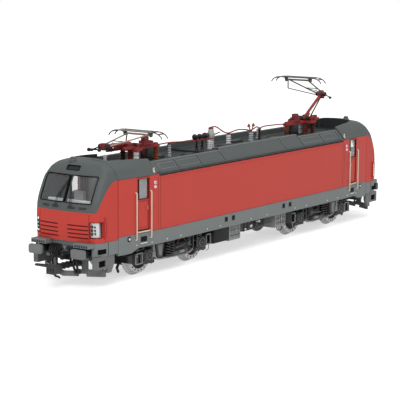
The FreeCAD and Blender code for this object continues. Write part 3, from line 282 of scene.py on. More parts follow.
def end_emit(piece, name, end, material, slot, body="body", replaces=()):
    """Turns a piece made for the rear end to its own end and hands it over."""
    piece.flip(ENDS[end])
    piece.emit(name + "_" + end, body, material, slot, replaces)


# ---------------------------------------------------------------- materials
def node(tree, kind, **values):
    """Adds a shader node; each value goes to a setting of the node or to one of its inputs."""
    made = tree.nodes.new(kind)
    for key, value in values.items():
        if hasattr(made, key) and key not in made.inputs:
            setattr(made, key, value)
        else:
            made.inputs[key].default_value = value
    return made


RELIEF = 2e-5      # metres that the bumps stand off


def finish_of(name, colour, rough=0.42, metal=0.0, mottle=0.06, grain=700, bump=0.15, coat=0.0, edge_glint=0.0,
              shine=0.25):
    """Satin, cast or turned surface: colour varies a little, roughness and bump follow a fine grain; convex
    edges can be lightened as a painted highlight.
    """
    material = bpy.data.materials.new(name)
    material.use_nodes = True
    tree = material.node_tree
    shader = tree.nodes["Principled BSDF"]
    shader.inputs["Metallic"].default_value = metal
    shader.inputs["Specular IOR Level"].default_value = shine
    shader.inputs["Coat Weight"].default_value = coat
    shader.inputs["Coat Roughness"].default_value = 0.2
    where = node(tree, "ShaderNodeTexCoord")
    broad = node(tree, "ShaderNodeTexNoise", Scale=90.0, Detail=4.0)
    fine = node(tree, "ShaderNodeTexNoise", Scale=float(grain), Detail=3.0)
    for noise in (broad, fine):
        tree.links.new(where.outputs["Object"], noise.inputs["Vector"])
    shade = node(tree, "ShaderNodeMapRange", **{"To Min": 1 - mottle, "To Max": 1 + mottle})
    tree.links.new(broad.outputs["Fac"], shade.inputs["Value"])
    tint = node(tree, "ShaderNodeMix", data_type="RGBA", blend_type="MULTIPLY")
    tint.inputs["Factor"].default_value = 1.0
    tint.inputs[6].default_value = (*colour, 1)
    tree.links.new(shade.outputs["Result"], tint.inputs[7])
    rough_range = node(tree, "ShaderNodeMapRange", **{"To Min": rough - 0.07, "To Max": rough + 0.07})
    tree.links.new(fine.outputs["Fac"], rough_range.inputs["Value"])
    tree.links.new(rough_range.outputs["Result"], shader.inputs["Roughness"])
    relief_node = node(tree, "ShaderNodeBump", Strength=bump, Distance=RELIEF)
    tree.links.new(fine.outputs["Fac"], relief_node.inputs["Height"])
    tree.links.new(relief_node.outputs["Normal"], shader.inputs["Normal"])
    out = tint.outputs[2]
    # Painted highlight: convex edges are lightened, as where light catches them.
    if edge_glint:
        geometry = node(tree, "ShaderNodeNewGeometry")
        edge = node(tree, "ShaderNodeMapRange", **{"From Min": 0.5, "From Max": 0.62, "To Max": edge_glint})
        tree.links.new(geometry.outputs["Pointiness"], edge.inputs["Value"])
        bright = node(tree, "ShaderNodeMix", data_type="RGBA")
        bright.inputs[7].default_value = (*[min(1, 0.35 + c) for c in colour], 1)
        tree.links.new(edge.outputs["Result"], bright.inputs["Factor"])
        tree.links.new(out, bright.inputs[6])
        out = bright.outputs[2]
    tree.links.new(out, shader.inputs["Base Color"])
    return material


RED = (0.64, 0.068, 0.050)
GREY = (0.110, 0.124, 0.123)
red_paint = finish_of("red_satin_paint", RED, rough=0.40, mottle=0.03, bump=0.1)
grey_paint = finish_of("grey_satin_paint", GREY, rough=0.45, mottle=0.05, bump=0.12)
sill_paint = finish_of("grey_sill_paint", (0.225, 0.252, 0.248), rough=0.45, mottle=0.07, bump=0.12)
# Dark roof paint; the same dark stands as painted shade in the gaps under the roof panels.
deck_paint_and_eaves_shade = finish_of("dark_roof_paint_and_eaves_shade", (0.034, 0.037, 0.039), rough=0.55, mottle=0.2, bump=0.2)
black_moulding = finish_of("black_moulded_plastic", (0.010, 0.011, 0.012), rough=0.48, mottle=0.2, bump=0.3,
                           edge_glint=0.08)
frame_moulding = finish_of("bogie_moulding", (0.014, 0.015, 0.016), rough=0.55, mottle=0.25, bump=0.35,
                           edge_glint=0.3)
link_moulding = finish_of("grey_bogie_moulding", (0.055, 0.059, 0.061), rough=0.5, mottle=0.3, bump=0.3,
                          edge_glint=0.2)
case_moulding = finish_of("grey_case_moulding", (0.36, 0.375, 0.37), rough=0.5, mottle=0.1, bump=0.2)
step_moulding = finish_of("grey_step_moulding", (0.20, 0.205, 0.203), rough=0.5, mottle=0.1, bump=0.2)
cream = finish_of("cream_plastic", (0.78, 0.70, 0.56), rough=0.42, mottle=0.05, bump=0.1)
# White plastic; the same white is used for the painted glints along the sills.
white_plastic_and_glints = finish_of("white_plastic_and_glints", (0.92, 0.93, 0.93), rough=0.35, mottle=0.04, bump=0.1)
cab_grey = finish_of("pale_grey_moulding", (0.92, 0.93, 0.94), rough=0.55, mottle=0.06, bump=0.15)
# Black rubber of the seals; the same black stands as painted shade in the grab and sill recesses.
seal_and_shade_black = finish_of("black_rubber_and_painted_shade", (0.008, 0.008, 0.009), rough=0.5, mottle=0.1, bump=0.2, shine=0.12)
lamp_bowl = finish_of("dark_lamp_reflector", (0.022, 0.027, 0.032), rough=0.3, metal=0.0, mottle=0.6,
                      bump=0.4)
# Dark joint lines; the same dark red is painted shade along the door edges, behind the nose ribs and in the
# grooves.
joint_and_shade_line = finish_of("dark_joint_and_painted_shade", (0.16, 0.014, 0.010), rough=0.6, mottle=0.1)
pan_red = finish_of("dark_red_paint", (0.20, 0.012, 0.012), rough=0.38, mottle=0.1, bump=0.15, edge_glint=0.1)
bare_metal = finish_of("silver_metal", (0.56, 0.54, 0.50), rough=0.36, metal=0.85, mottle=0.1, grain=2500,
                       bump=0.2)
dark_rod = finish_of("dark_red_brown_rod", (0.06, 0.032, 0.028), rough=0.4, mottle=0.1)
# Painted reflection: the chromed rims are a near-white non-metal, as bright as their reflection.
chrome_painted_white = finish_of("chromed_wheel_painted_white", (0.98, 0.98, 0.97), rough=0.3, metal=0.0, mottle=0.04, grain=3000,
                   bump=0.1, shine=0.6)
tyre = finish_of("dark_wheel_back", (0.035, 0.030, 0.026), rough=0.4, metal=0.6, mottle=0.2)
ceramic = finish_of("white_insulator", (0.72, 0.74, 0.74), rough=0.25, mottle=0.04, bump=0.05, coat=0.4)
gloss_black = finish_of("black_insulator", (0.012, 0.012, 0.013), rough=0.25, mottle=0.1, coat=0.4)
iron = finish_of("cast_iron", (0.12, 0.12, 0.12), rough=0.7, metal=0.5, mottle=0.2, bump=0.4)
orange_red = finish_of("orange_brown_plastic", (0.32, 0.075, 0.03), rough=0.45, mottle=0.1)


def two_tone(name, upper, lower, stops):
    """Paint that changes at a line: its height in millimetres is given at distances along the model."""
    material = finish_of(name, lower, mottle=0.03, bump=0.1)
    tree = material.node_tree
    shader = tree.nodes["Principled BSDF"]
    where = node(tree, "ShaderNodeTexCoord")
    split = node(tree, "ShaderNodeSeparateXYZ")
    tree.links.new(where.outputs["Object"], split.inputs[0])
    far = node(tree, "ShaderNodeMath", operation="ABSOLUTE")
    tree.links.new(split.outputs["X"], far.inputs[0])
    x0, x1 = stops[0][0], stops[-1][0]
    z0, z1 = min(z for _, z in stops), max(z for _, z in stops)
    place = node(tree, "ShaderNodeMapRange", **{"From Min": x0 * MM, "From Max": x1 * MM})
    tree.links.new(far.outputs[0], place.inputs["Value"])
    curve = node(tree, "ShaderNodeFloatCurve")
    points = curve.mapping.curves[0].points
    while len(points) < len(stops):
        points.new(0.5, 0.5)
    for point, (x, z) in zip(points, stops):
        point.location = ((x - x0) / (x1 - x0), (z - z0) / (z1 - z0))
    curve.mapping.update()
    tree.links.new(place.outputs["Result"], curve.inputs["Value"])
    line = node(tree, "ShaderNodeMapRange", **{"To Min": z0 * MM, "To Max": z1 * MM})
    tree.links.new(curve.outputs[0], line.inputs["Value"])
    over = node(tree, "ShaderNodeMath", operation="SUBTRACT")
    tree.links.new(split.outputs["Z"], over.inputs[0])
    tree.links.new(line.outputs["Result"], over.inputs[1])
    edge = node(tree, "ShaderNodeMapRange", **{"From Min": -0.06 * MM, "From Max": 0.06 * MM})
    tree.links.new(over.outputs[0], edge.inputs["Value"])
    mix = node(tree, "ShaderNodeMix", data_type="RGBA")
    tree.links.new(edge.outputs["Result"], mix.inputs["Factor"])
    mix.inputs[7].default_value = (*upper, 1)
    old = shader.inputs["Base Color"].links[0].from_socket
    tree.links.new(old, mix.inputs[6])
    tree.links.new(mix.outputs[2], shader.inputs["Base Color"])
    return material


# Height of the edge between grey and red, at distances from the middle of the model.
BORDER = ((GAP_X, 39.2), (GAP_X + 1.6, 39.0), (95.5, 38.1), (97.9, 36.3), (99.6, 34.0), (101.4, 31.3),
          (102.6, 28.9),
          (103.2, 28.1), (106.0, 28.1))
mask_paint = two_tone("grey_over_red_paint", GREY, (0.64, 0.062, 0.046), BORDER)


def glass(name, tint, alpha, rough=0.06):
    """Clear or smoked plastic."""
    material = bpy.data.materials.new(name)
    material.use_nodes = True
    tree = material.node_tree
    shader = tree.nodes["Principled BSDF"]
    shader.inputs["Base Color"].default_value = (*tint, 1)
    shader.inputs["Roughness"].default_value = rough
    shader.inputs["Alpha"].default_value = alpha
    where = node(tree, "ShaderNodeTexCoord")
    ripple = node(tree, "ShaderNodeTexNoise", Scale=160.0, Detail=2.0)
    tree.links.new(where.outputs["Object"], ripple.inputs["Vector"])
    bump = node(tree, "ShaderNodeBump", Strength=0.05, Distance=RELIEF)
    tree.links.new(ripple.outputs["Fac"], bump.inputs["Height"])
    tree.links.new(bump.outputs["Normal"], shader.inputs["Normal"])
    return material


screen_glass = glass("clear_screen", (0.62, 0.65, 0.66), 0.08, 0.03)
door_glass = glass("clear_door_pane", (0.80, 0.85, 0.86), 0.28)
lamp_glass = glass("clear_lamp_cover", (0.9, 0.92, 0.92), 0.03)


def paint_node(name, material):
    """Gives one shown solid its material."""
    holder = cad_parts[name]
    holder.data.materials.clear()
    holder.data.materials.append(material)


# Solids that are shown as they are; the pieces made below stand for all others.
NODE_MATERIALS = {
    red_paint: ["side_wall_left", "side_wall_right", "doors"],
    grey_paint: ["roof_panels_left", "roof_panels_right"],
    sill_paint: ["underframe", "end_beam_*"],
    deck_paint_and_eaves_shade: ["roof_deck"],
    step_moulding: ["corner_steps_*", "plough_*"],
    frame_moulding: ["bogie_frame_*"],
    door_glass: ["door_glass"],
    cab_grey: ["cab_interior_*"],
    iron: ["weight"],
}
for material, names in NODE_MATERIALS.items():
    for name in names:
        for end in (ENDS if name.endswith("*") else ("",)):
            paint_node(name.replace("*", end), material)

# ---------------------------------------------------------------- cab fronts
# Level sections of the cab front.  Columns: height, then in from the half width at the joint (in) and
# forward from that joint (ahead): in at the joint, ahead and in where the corner starts, ahead and in
# where it ends, ahead on the centre line.
MASK = (
    (MASK_Z, 0.00, 7.7, 0.54, 11.4, 3.34, 12.5),
    (MASK_Z + 5.8, 0.00, 8.0, 0.56, 11.9, 3.34, 13.0),
    (MASK_Z + 11.8, 0.00, 7.6, 0.53, 11.5, 3.34, 12.7),
    (SCREEN_Z0, 0.00, 7.1, 0.52, 11.0, 3.34, 12.0),
    (SCREEN_Z0 + 3.7, 0.00, 5.4, 0.44, 9.4, 3.34, 10.3),
    (EAVES_Z, 0.00, 3.25, 0.6, 7.3, 3.48, 8.45),
    (SCREEN_Z1, 0.84, 2.4, 1.24, 6.3, 3.54, 7.7),
    (ROOF_Z + 4.2, 1.84, 1.5, 2.14, 5.1, 4.54, 6.9),
    (ROOF_Z + 5.6, 3.54, 1.1, 3.74, 4.1, 6.04, 6.0),
    (ROOF_Z + 6.6, 5.34, 0.8, 5.54, 3.0, 8.04, 4.6),
    (ROOF_Z + 7.6, 12.5, 0.3, 12.7, 0.7, 13.5, 1.1),
)
LAMP_X0 = GAP_X + 7.6
LAMP_Z = (MASK_Z + 1.8, MASK_Z + 7.6)
TOPLAMP_Z = (ROOF_Z + 4.1, ROOF_Z + 5.7)
TOPLAMP_Y = 3.0


def steady(keys, values, t):
    """Smooth curve through (key, value) that never overshoots."""
    n = len(keys)
    i = max(0, min(n - 2, sum(1 for k in keys[1:-1] if t >= k)))
    slope = [(values[k + 1] - values[k]) / (keys[k + 1] - keys[k]) for k in range(n - 1)]

    def tangent(k):
        if k in (0, n - 1):
            return slope[0] if k == 0 else slope[-1]
        a, b = slope[k - 1], slope[k]
        return 0.0 if a * b <= 0 else 2 * a * b / (a + b)

    h = keys[i + 1] - keys[i]
    s = min(1.0, max(0.0, (t - keys[i]) / h))
    return ((1 + 2 * s) * (1 - s) ** 2 * values[i] + s * (1 - s) ** 2 * h * tangent(i)
            + s * s * (3 - 2 * s) * values[i + 1] + s * s * (s - 1) * h * tangent(i + 1))


def mask_row(z):
    """Six measures of the cab front at height z, between the rows of MASK."""
    keys = [row[0] for row in MASK]
    return [steady(keys, [row[c] for row in MASK], z) for c in range(1, 7)]


def arc(a, b, c, count):
    """Points on the circle through a, b and c (2-D)."""
    ax, ay = a
    bx, by = b
    cx, cy = c
    d = 2 * (ax * (by - cy) + bx * (cy - ay) + cx * (ay - by))
    if abs(d) < 1e-9:
        return [(ax + (cx - ax) * k / count, ay + (cy - ay) * k / count) for k in range(count + 1)]
    aa, bb, cc = ax * ax + ay * ay, bx * bx + by * by, cx * cx + cy * cy
    ux = (aa * (by - cy) + bb * (cy - ay) + cc * (ay - by)) / d
    uy = (aa * (cx - bx) + bb * (ax - cx) + cc * (bx - ax)) / d
    r = math.hypot(ax - ux, ay - uy)
    start, middle, end = (math.atan2(p[1] - uy, p[0] - ux) for p in (a, b, c))
    turn = (end - start) % (2 * math.pi)
    if (middle - start) % (2 * math.pi) > turn:
        turn -= 2 * math.pi
    return [(ux + r * math.cos(start + turn * k / count), uy + r * math.sin(start + turn * k / count))
            for k in range(count + 1)]


def mask_plan(z, inset=0.0, back=0.0):
    """Half outline of the cab front at a height, from the joint to the centre line."""
    joint_in, side_ahead, side_in, nose_ahead, nose_in, mid_ahead = mask_row(z)
    least = 0.1
    joint = (GAP_X - back, max(4 * least, GAP_Y - joint_in - inset))
    start = (GAP_X + max(least, side_ahead - inset * 0.6), max(3 * least, GAP_Y - side_in - inset))
    end = (GAP_X + max(2 * least, nose_ahead - inset), max(2 * least, GAP_Y - nose_in - inset * 0.6))
    middle = (GAP_X + max(3 * least, mid_ahead - inset), 0.0)
    lean = 0.2
    bulge = ((start[0] + end[0]) / 2 + lean * (end[0] - start[0]),
             (start[1] + end[1]) / 2 + lean * (start[1] - end[1]))
    side = [(joint[0] + (start[0] - joint[0]) * k / 8,
             joint[1] + (start[1] - joint[1]) * k / 8) for k in range(8)]
    corner = arc(start, bulge, end, 12)[:-1]
    nose = arc(end, middle, (end[0], -end[1]), 28)[:15]
    return side + corner + nose


def mask_point(y, z, out=0.0):
    """Point on the front surface at a height and a distance from the centre line, moved outwards."""
    def ahead(y, z):
        plan = mask_plan(z)
        for (x0, y0), (x1, y1) in zip(plan[8:], plan[9:]):
            if y1 <= abs(y) <= y0:
                t = (abs(y) - y0) / (y1 - y0) if y1 != y0 else 0
                return x0 + (x1 - x0) * t
        return plan[-1][0]
    step = 0.2
    x = ahead(y, z)
    dy = (ahead(y + step, z) - ahead(y - step, z)) / (2 * step)
    dz = (ahead(y, z + step) - ahead(y, z - step)) / (2 * step)
    normal = Vector((1, -dy, -dz)).normalized()
    return Vector((x, y, z)) + normal * out


def mask_side_point(x, z, out=0.0):
    """Point on the side of the cab front at a height and a distance along the model."""
    plan = mask_plan(z)
    for (x0, y0), (x1, y1) in zip(plan, plan[1:]):
        if x0 <= x <= x1:
            y = y0 + (y1 - y0) * (x - x0) / (x1 - x0)
            run = Vector((x1 - x0, y1 - y0, 0)).normalized()
            return Vector((x - run.y * out, y + run.x * out, z))
    return Vector((x, plan[0][1] + out, z))


def mask_solid(inset=0.0, back=0.0, low=None, high=None, rows=64, soft=False):
    """Closed solid of the cab front between two heights."""
    piece = Mesh()
    bottom = MASK[0][0] if low is None else low
    top = MASK[-1][0] if high is None else high
    rings = []
    for k in range(rows + 1):
        z = bottom + (top - bottom) * k / rows
        plan = mask_plan(min(max(z + (inset if z > SCREEN_Z1 else 0), MASK[0][0]), MASK[-1][0]), inset, back)
        if soft:
            x0, y0 = plan[0]
            run = min(1.0, 0.6 * (plan[1][0] - x0) / 0.24)
            plan[0:1] = [(x0, y0 - 0.34), (x0 + 0.02 * run, y0 - 0.16), (x0 + 0.10 * run, y0 - 0.05),
                         (x0 + 0.24 * run, y0)]
        ring = plan + [(x, -y) for x, y in reversed(plan[:-1])]
        rings.append([(x, y, z) for x, y in ring])
    piece.loft(rings)
    return piece


def rounded(y0, y1, z0, z1, r, count=5):
    """Rounded rectangle, as (y, z) points."""
    points = []
    for cy, cz, a in ((y1 - r, z1 - r, 0), (y0 + r, z1 - r, 90), (y0 + r, z0 + r, 180),
                      (y1 - r, z0 + r, 270)):
        for k in range(count + 1):
            t = math.radians(a + 90 * k / count)
            points.append((cy + r * math.cos(t), cz + r * math.sin(t)))
    return points


PILLAR = 0.45
SCREEN = (PILLAR, SCREEN_Y, SCREEN_Z0, SCREEN_Z1)
GROOVES = [MASK_Z + 1.3 + 1.5 * k for k in range(4)]


def cab_cutters():
    """Openings of the cab front: screens, lamp corners, grooves and the lamp over the screens."""
    tools = Mesh()
    for side in (-1, 1):
        y0, y1, z0, z1 = SCREEN
        outline = rounded(y0, y1, z0, z1, 0.5)
        tools.prism([(side * y, z) for y, z in outline], "x", GAP_X + 1.4, GAP_X + 20, r=0)
        tools.box(LAMP_X0, GAP_X + 20, side * LAMP_Y, side * (GAP_Y + 2), *LAMP_Z, r=0.25)
        for z in GROOVES:
            points = [mask_point(side * y, z + 0.25) for y in (2.2, 4.4, 6.6, 8.8, 11.3)]
            ring = [(-0.62, -0.25), (0.5, -0.25), (0.5, 0.25), (-0.62, 0.25)]
            tools.sweep(points, ring)
    tools.prism(rounded(-TOPLAMP_Y, TOPLAMP_Y, *TOPLAMP_Z, 0.3), "x", GAP_X + 4.2, GAP_X + 20, r=0)
    return tools


def cab_front(end):
    """Hollow cab front with its openings, and the aerial socket on the dome."""
    sign = ENDS[end]
    shell = mask_solid(back=-0.12, soft=True).raw("shell")
    room = mask_solid(inset=WALL, back=WALL, low=MASK_Z - 1, high=MASK[-1][0] - WALL).raw("room")
    tools = cab_cutters().raw("tools")
    result = carved(shell, room, tools)
    bpy.data.objects.remove(shell)
    piece = Mesh()
    piece.bm.from_mesh(result)
    bpy.data.meshes.remove(result)
    bmesh.ops.scale(piece.bm, vec=(1 / MM, 1 / MM, 1 / MM), verts=piece.bm.verts)
    piece.lathe([(0, 45.0), (1.5, 45.0), (1.45, 45.7), (1.1, 46.0), (1.0, 46.6), (0.75, 46.85), (0, 46.9)],
                (GAP_X + 3.3, -2.8 * sign, 0), "z", 28)
    piece.flip(sign)
    piece.emit("cab_shell_" + end, "body", mask_paint, "cab_paint", ("cab_mask_" + end,), angle=28)


for end in ENDS:
    cab_front(end)

# ---------------------------------------------------------------- cab roofs
# Cross sections of the cab roof.  Columns: x, then for each corner from the eaves to the crown its
# distance in from the half width there and its height over the eaves.
ROOF_MID_X = GAP_X - 9.6
DECK_Z = ROOF_Z + 3.0
CAB_ROOF = (
    (TAPER_X, (0.0, 0.0), (0.6, 0.6), (2.3, 2.6), (4.0, 4.6), (5.3, 5.5), (13.5, 5.7)),
    (ROOF_MID_X, (0.0, 0.0), (0.7, 1.0), (1.9, 3.1), (3.7, 4.8), (5.6, 6.1), (13.2, 7.6)),
)
EDGE_ROWS = (5, 6, 7, 8, 9, 10)
# Plan of the well in it, for the insulators.  Columns: x, half width.
WELL = ((TAPER_X - 2, HALF_W - 5.3), (TAPER_X, HALF_W - 5.3), (ROOF_MID_X, HALF_W - 6.7),
        (GAP_X - 3.0, HALF_W - 8.6), (GAP_X - 2.2, HALF_W - 9.6))


def half_width(x):
    """Half width of the body at x; it draws in beyond TAPER_X."""
    past = max(0.0, abs(x) - TAPER_X)
    return HALF_W - (HALF_W - GAP_Y) * past / (GAP_X - TAPER_X)


def roof_corner(x, i):
    """Corner i of the cross section at x, as (y, z)."""
    stations = [row[0] for row in CAB_ROOF] + [GAP_X]
    ys = [half_width(row[0]) - row[1 + i][0] for row in CAB_ROOF] + [GAP_Y - MASK[EDGE_ROWS[i]][1]]
    zs = [EAVES_Z + row[1 + i][1] for row in CAB_ROOF] + [MASK[EDGE_ROWS[i]][0]]
    return steady(stations, ys, x), steady(stations, zs, x)


def roof_profile(x, count=38):
    """Rounded half cross section from the eaves to the crown."""
    corners = [roof_corner(x, i) for i in range(6)] + [(0.0, roof_corner(x, 5)[1])]
    lengths = [0.0]
    for a, b in zip(corners, corners[1:]):
        lengths.append(lengths[-1] + math.hypot(b[0] - a[0], b[1] - a[1]))
    share = [v / lengths[-1] for v in lengths]
    ys, zs = [c[0] for c in corners], [c[1] for c in corners]
    return [(max(0.0, steady(share, ys, k / count)), steady(share, zs, k / count)) for k in range(count + 1)]


def cab_roof(end):
    """Roof behind the cab front, open over its well."""
    sign = ENDS[end]
    rows = []
    steps = 22
    for k in range(steps + 1):
        x = TAPER_X + (GAP_X - TAPER_X) * k / steps
        rows.append([(x, y, z) for y, z in roof_profile(x)])
    full = [row + [(x, -y, z) for x, y, z in reversed(row[:-1])] for row in rows]
    outer, tools = Mesh(), Mesh()
    outer.loft(full)
    well = list(WELL) + [(x, -y) for x, y in reversed(WELL)]
    tools.prism(well, "z", DECK_Z, DECK_Z + 20, r=0)
    tools.box(TAPER_X + 6, GAP_X + 3, 2.0 - GAP_Y, GAP_Y - 2.0, EAVES_Z - 3, EAVES_Z + 1.0, r=0)
    outer.flip(sign)
    tools.flip(sign)
    outer.emit("cab_roof_shell_" + end, "body", grey_paint, "grey_paint", ("cab_roof_" + end,), angle=32,
               cutters=tools)


for end in ENDS:
    cab_roof(end)


def front_line(points, out=0.0, count=10):
    """Line on the front surface through (y, z) corners."""
    line = []
    for (y0, z0), (y1, z1) in zip(points, points[1:]):
        steps = max(1, int(math.hypot(y1 - y0, z1 - z0) / (13.0 / count)))
        line += [mask_point(y0 + (y1 - y0) * k / steps, z0 + (z1 - z0) * k / steps,
                            out) for k in range(steps)]
    line.append(mask_point(*points[-1], out))
    return line


def front_outline(y0, y1, z0, z1, r, out, side):
    """Rounded outline on the cab front."""
    loop = rounded(y0, y1, z0, z1, r, 3)
    dense = []
    for (a, b), (c, d) in zip(loop, loop[1:] + loop[:1]):
        steps = max(1, int(math.hypot(c - a, d - b) / 0.9))
        dense += [(a + (c - a) * k / steps, b + (d - b) * k / steps) for k in range(steps)]
    return [mask_point(side * y, z, out) for y, z in dense]


def front_patch(piece, y0, y1, z0, z1, out, thick, columns=14, rows=10):
    """Curved plate that follows the front surface."""
    def sheet(depth):
        return [[mask_point(y0 + (y1 - y0) * i / columns, z0 + (z1 - z0) * k / rows, depth)
                 for i in range(columns + 1)] for k in range(rows + 1)]
    piece.shell(sheet(out), sheet(out - thick))


def screens(end):
    """Two panes with their seals and the pillar between them."""
    y0, y1, z0, z1 = SCREEN
    pane, rubber = Mesh(), Mesh()
    for side in (-1, 1):
        front_patch(pane, side * (y0 + 0.06), side * (y1 - 0.06), z0 + 0.06, z1 - 0.06, -0.12, 0.3)
        loop = front_outline(y0 - 0.02, y1 + 0.05, z0 - 0.05, z1 + 0.05, 0.5, -0.02, side)
        rubber.strip(loop, 0.34, 0.34, closed=True)
    rubber.strip(front_line([(0, z0 - 0.1), (0, z1 + 0.1)], 0.02), 0.72, 0.3)
    end_emit(pane, "screen_pane", end, screen_glass, "clear_plastic", "body", ("windscreen_" + end,))
    end_emit(rubber, "screen_seal", end, seal_and_shade_black, "hose_black")


def wipers(end):
    """Two arms with their blades, and the grab recesses under the screen, their dark patches painted shade.
    """
    arms, dark, steel = Mesh(), Mesh(), Mesh()
    for side in (-1, 1):
        foot = (side * 3.3, SCREEN_Z0 - 1.6)
        elbow = (side * 2.7, SCREEN_Z0 + 2.0)
        tip = (side * 1.7, SCREEN_Z0 + 5.6)
        for shift, d in ((0.0, 0.26), (0.8, 0.22)):
            a = mask_point(foot[0] + side * shift, foot[1], 0.5)
            b = mask_point(elbow[0] + side * shift * 0.6, elbow[1], 0.72)
            c = mask_point(tip[0], tip[1], 0.5)
            arms.tube([a, b, c], d, 8)
        blade = [mask_point(side * (2.5 - 0.27 * k), SCREEN_Z0 + 1.2 + 1.0 * k, 0.34) for k in range(7)]
        arms.strip(blade, 0.16, 0.34)
        hub = mask_point(foot[0], foot[1], 0.3)
        arms.lathe([(0, -0.5), (0.42, -0.5), (0.42, 0.35), (0.3, 0.5), (0, 0.5)], hub, "x", 16)
        for y_mid in (3.8, 8.6):
            y_a, y_b = side * (y_mid - 1.7), side * (y_mid + 1.7)
            z = SCREEN_Z0 - 1.7
            front_patch(dark, y_a, y_b, z - 0.32, z + 0.32, 0.03, 0.3, 8, 2)
            grab = front_line([(y_a * 0.985, z), (y_b, z)], 0.34, 14)
            ends = [mask_point(y_a, z, 0.0)] + grab + [mask_point(y_b, z, 0.0)]
            steel.tube(ends, 0.26, 8)
    end_emit(arms, "wipers", end, black_moulding, "hose_black")
    end_emit(dark, "grab_recess_shade", end, seal_and_shade_black, "hose_black")
    end_emit(steel, "grab_bars", end, link_moulding, "buffer_metal")


def head_lamps(end):
    """White lamp housings with their reflectors behind a clear cover, and the lamp over the screen."""
    housing, bowls, cover, frame_line, dark_cover, back = (Mesh() for _ in range(6))
    for side in (-1, 1):
        y0, y1 = LAMP_Y + 0.12, GAP_Y - 0.75
        z0, z1 = LAMP_Z[0] + 0.12, LAMP_Z[1] - 0.12
        front_patch(housing, side * y0, side * y1, z0, z1, -0.75, 0.35)
        front_patch(cover, side * y0, side * y1, z0, z1, -0.08, 0.16)
        mid = (z0 + z1) / 2
        for y, z, r in ((y0 + 0.78, mid + 1.35, 0.62), (y0 + 0.78, mid - 0.05, 0.62),
                        (y0 + 0.78, mid - 1.4, 0.56),
                        (y0 + 1.95, mid + 1.2, 0.42), (y0 + 1.95, mid - 0.1, 0.42),
                        (y0 + 1.95, mid - 1.35, 0.42)):
            centre = mask_point(side * y, z, -0.62)
            bowls.lathe([(0, -0.05), (r * 0.55, 0.0), (r * 0.86, 0.1), (r, 0.28), (r * 0.8, 0.28),
                         (r * 0.5, 0.12),
                         (0, 0.06)], centre, "x", 20)
        loop = front_outline(LAMP_Y - 0.02, GAP_Y - 0.66, LAMP_Z[0], LAMP_Z[1], 0.3, -0.04, side)
        frame_line.strip(loop, 0.22, 0.24, closed=True)
    front_patch(dark_cover, 0.1 - TOPLAMP_Y, TOPLAMP_Y - 0.1, TOPLAMP_Z[0] + 0.1, TOPLAMP_Z[1] - 0.1, -0.35,
                0.15, 12, 4)
    for y in (-1.9, 0.0, 1.9):
        bowls.lathe([(0, -0.1), (0.3, 0), (0.42, 0.2), (0.5, 0.2), (0.5, -0.2), (0, -0.2)],
                    mask_point(y, (TOPLAMP_Z[0] + TOPLAMP_Z[1]) / 2, -0.9), "x", 16)
    loop = front_outline(-TOPLAMP_Y - 0.05, TOPLAMP_Y + 0.05, TOPLAMP_Z[0] - 0.05, TOPLAMP_Z[1] + 0.05, 0.3,
                         -0.05, 1)
    frame_line.strip(loop, 0.22, 0.24, closed=True)
    front_patch(back, 0.05 - TOPLAMP_Y, TOPLAMP_Y - 0.05, TOPLAMP_Z[0] + 0.02, TOPLAMP_Z[1] - 0.02, -1.0,
                0.25, 12, 4)
    end_emit(housing, "lamp_housings", end, white_plastic_and_glints, "cream_plastic")
    end_emit(bowls, "lamp_bowls", end, lamp_bowl, "hose_black")
    end_emit(back, "top_lamp_back", end, seal_and_shade_black, "hose_black")
    end_emit(frame_line, "lamp_frames", end, seal_and_shade_black, "hose_black")
    end_emit(dark_cover, "top_lamp_covers", end, smoked_glass, "clear_plastic")
    end_emit(cover, "lamp_covers", end, lamp_glass, "clear_plastic", "body", ("lamps_" + end,))


def nose_trim(end):
    """Upright ribs outboard of the lamps, the joint lines of the nose, a painted shadow behind each rib and
    painted shade in the grooves.
    """
    ribs, lines = Mesh(), Mesh()
    for side in (-1, 1):
        def at(x, z, out):
            p = mask_side_point(GAP_X + x, z, out)
            return (p.x, side * p.y, p.z)
        low, high = MASK_Z + 0.9, MASK_Z + 9.0
        steps = 12
        rib = [at(7.0 + 0.25 * math.sin(math.pi * k / steps), low + (high - low) * k / steps, 0.12)
               for k in range(steps + 1)]
        ring = [(-0.34, -0.3), (-0.1, 0.16), (0.1, 0.16), (0.34, -0.3)]
        ribs.sweep(rib, ring)
        # Dark line behind the rib: a painted shadow of the rib.
        rib_shadow = [at(6.3, low + (high - low) * k / steps, 0.0) for k in range(steps + 1)]
        lines.strip(rib_shadow, 0.14, 0.1)
        seam = front_line([(side * (LAMP_Y - 0.35), MASK_Z + 0.1), (side * (LAMP_Y - 0.35), MASK_Z + 10.4)],
                          0.0, 16)
        lines.strip(seam, 0.12, 0.1)
        # Painted shade: dark strips at the bottom of the grooves.
        for z in GROOVES:
            front_patch(lines, side * 2.25, side * (LAMP_Y - 0.65), z + 0.03, z + 0.47, -0.34, 0.1, 10, 1)
    end_emit(ribs, "nose_ribs", end, red_paint, "red_paint")
    end_emit(lines, "nose_joints_and_shade", end, joint_and_shade_line, "red_paint")


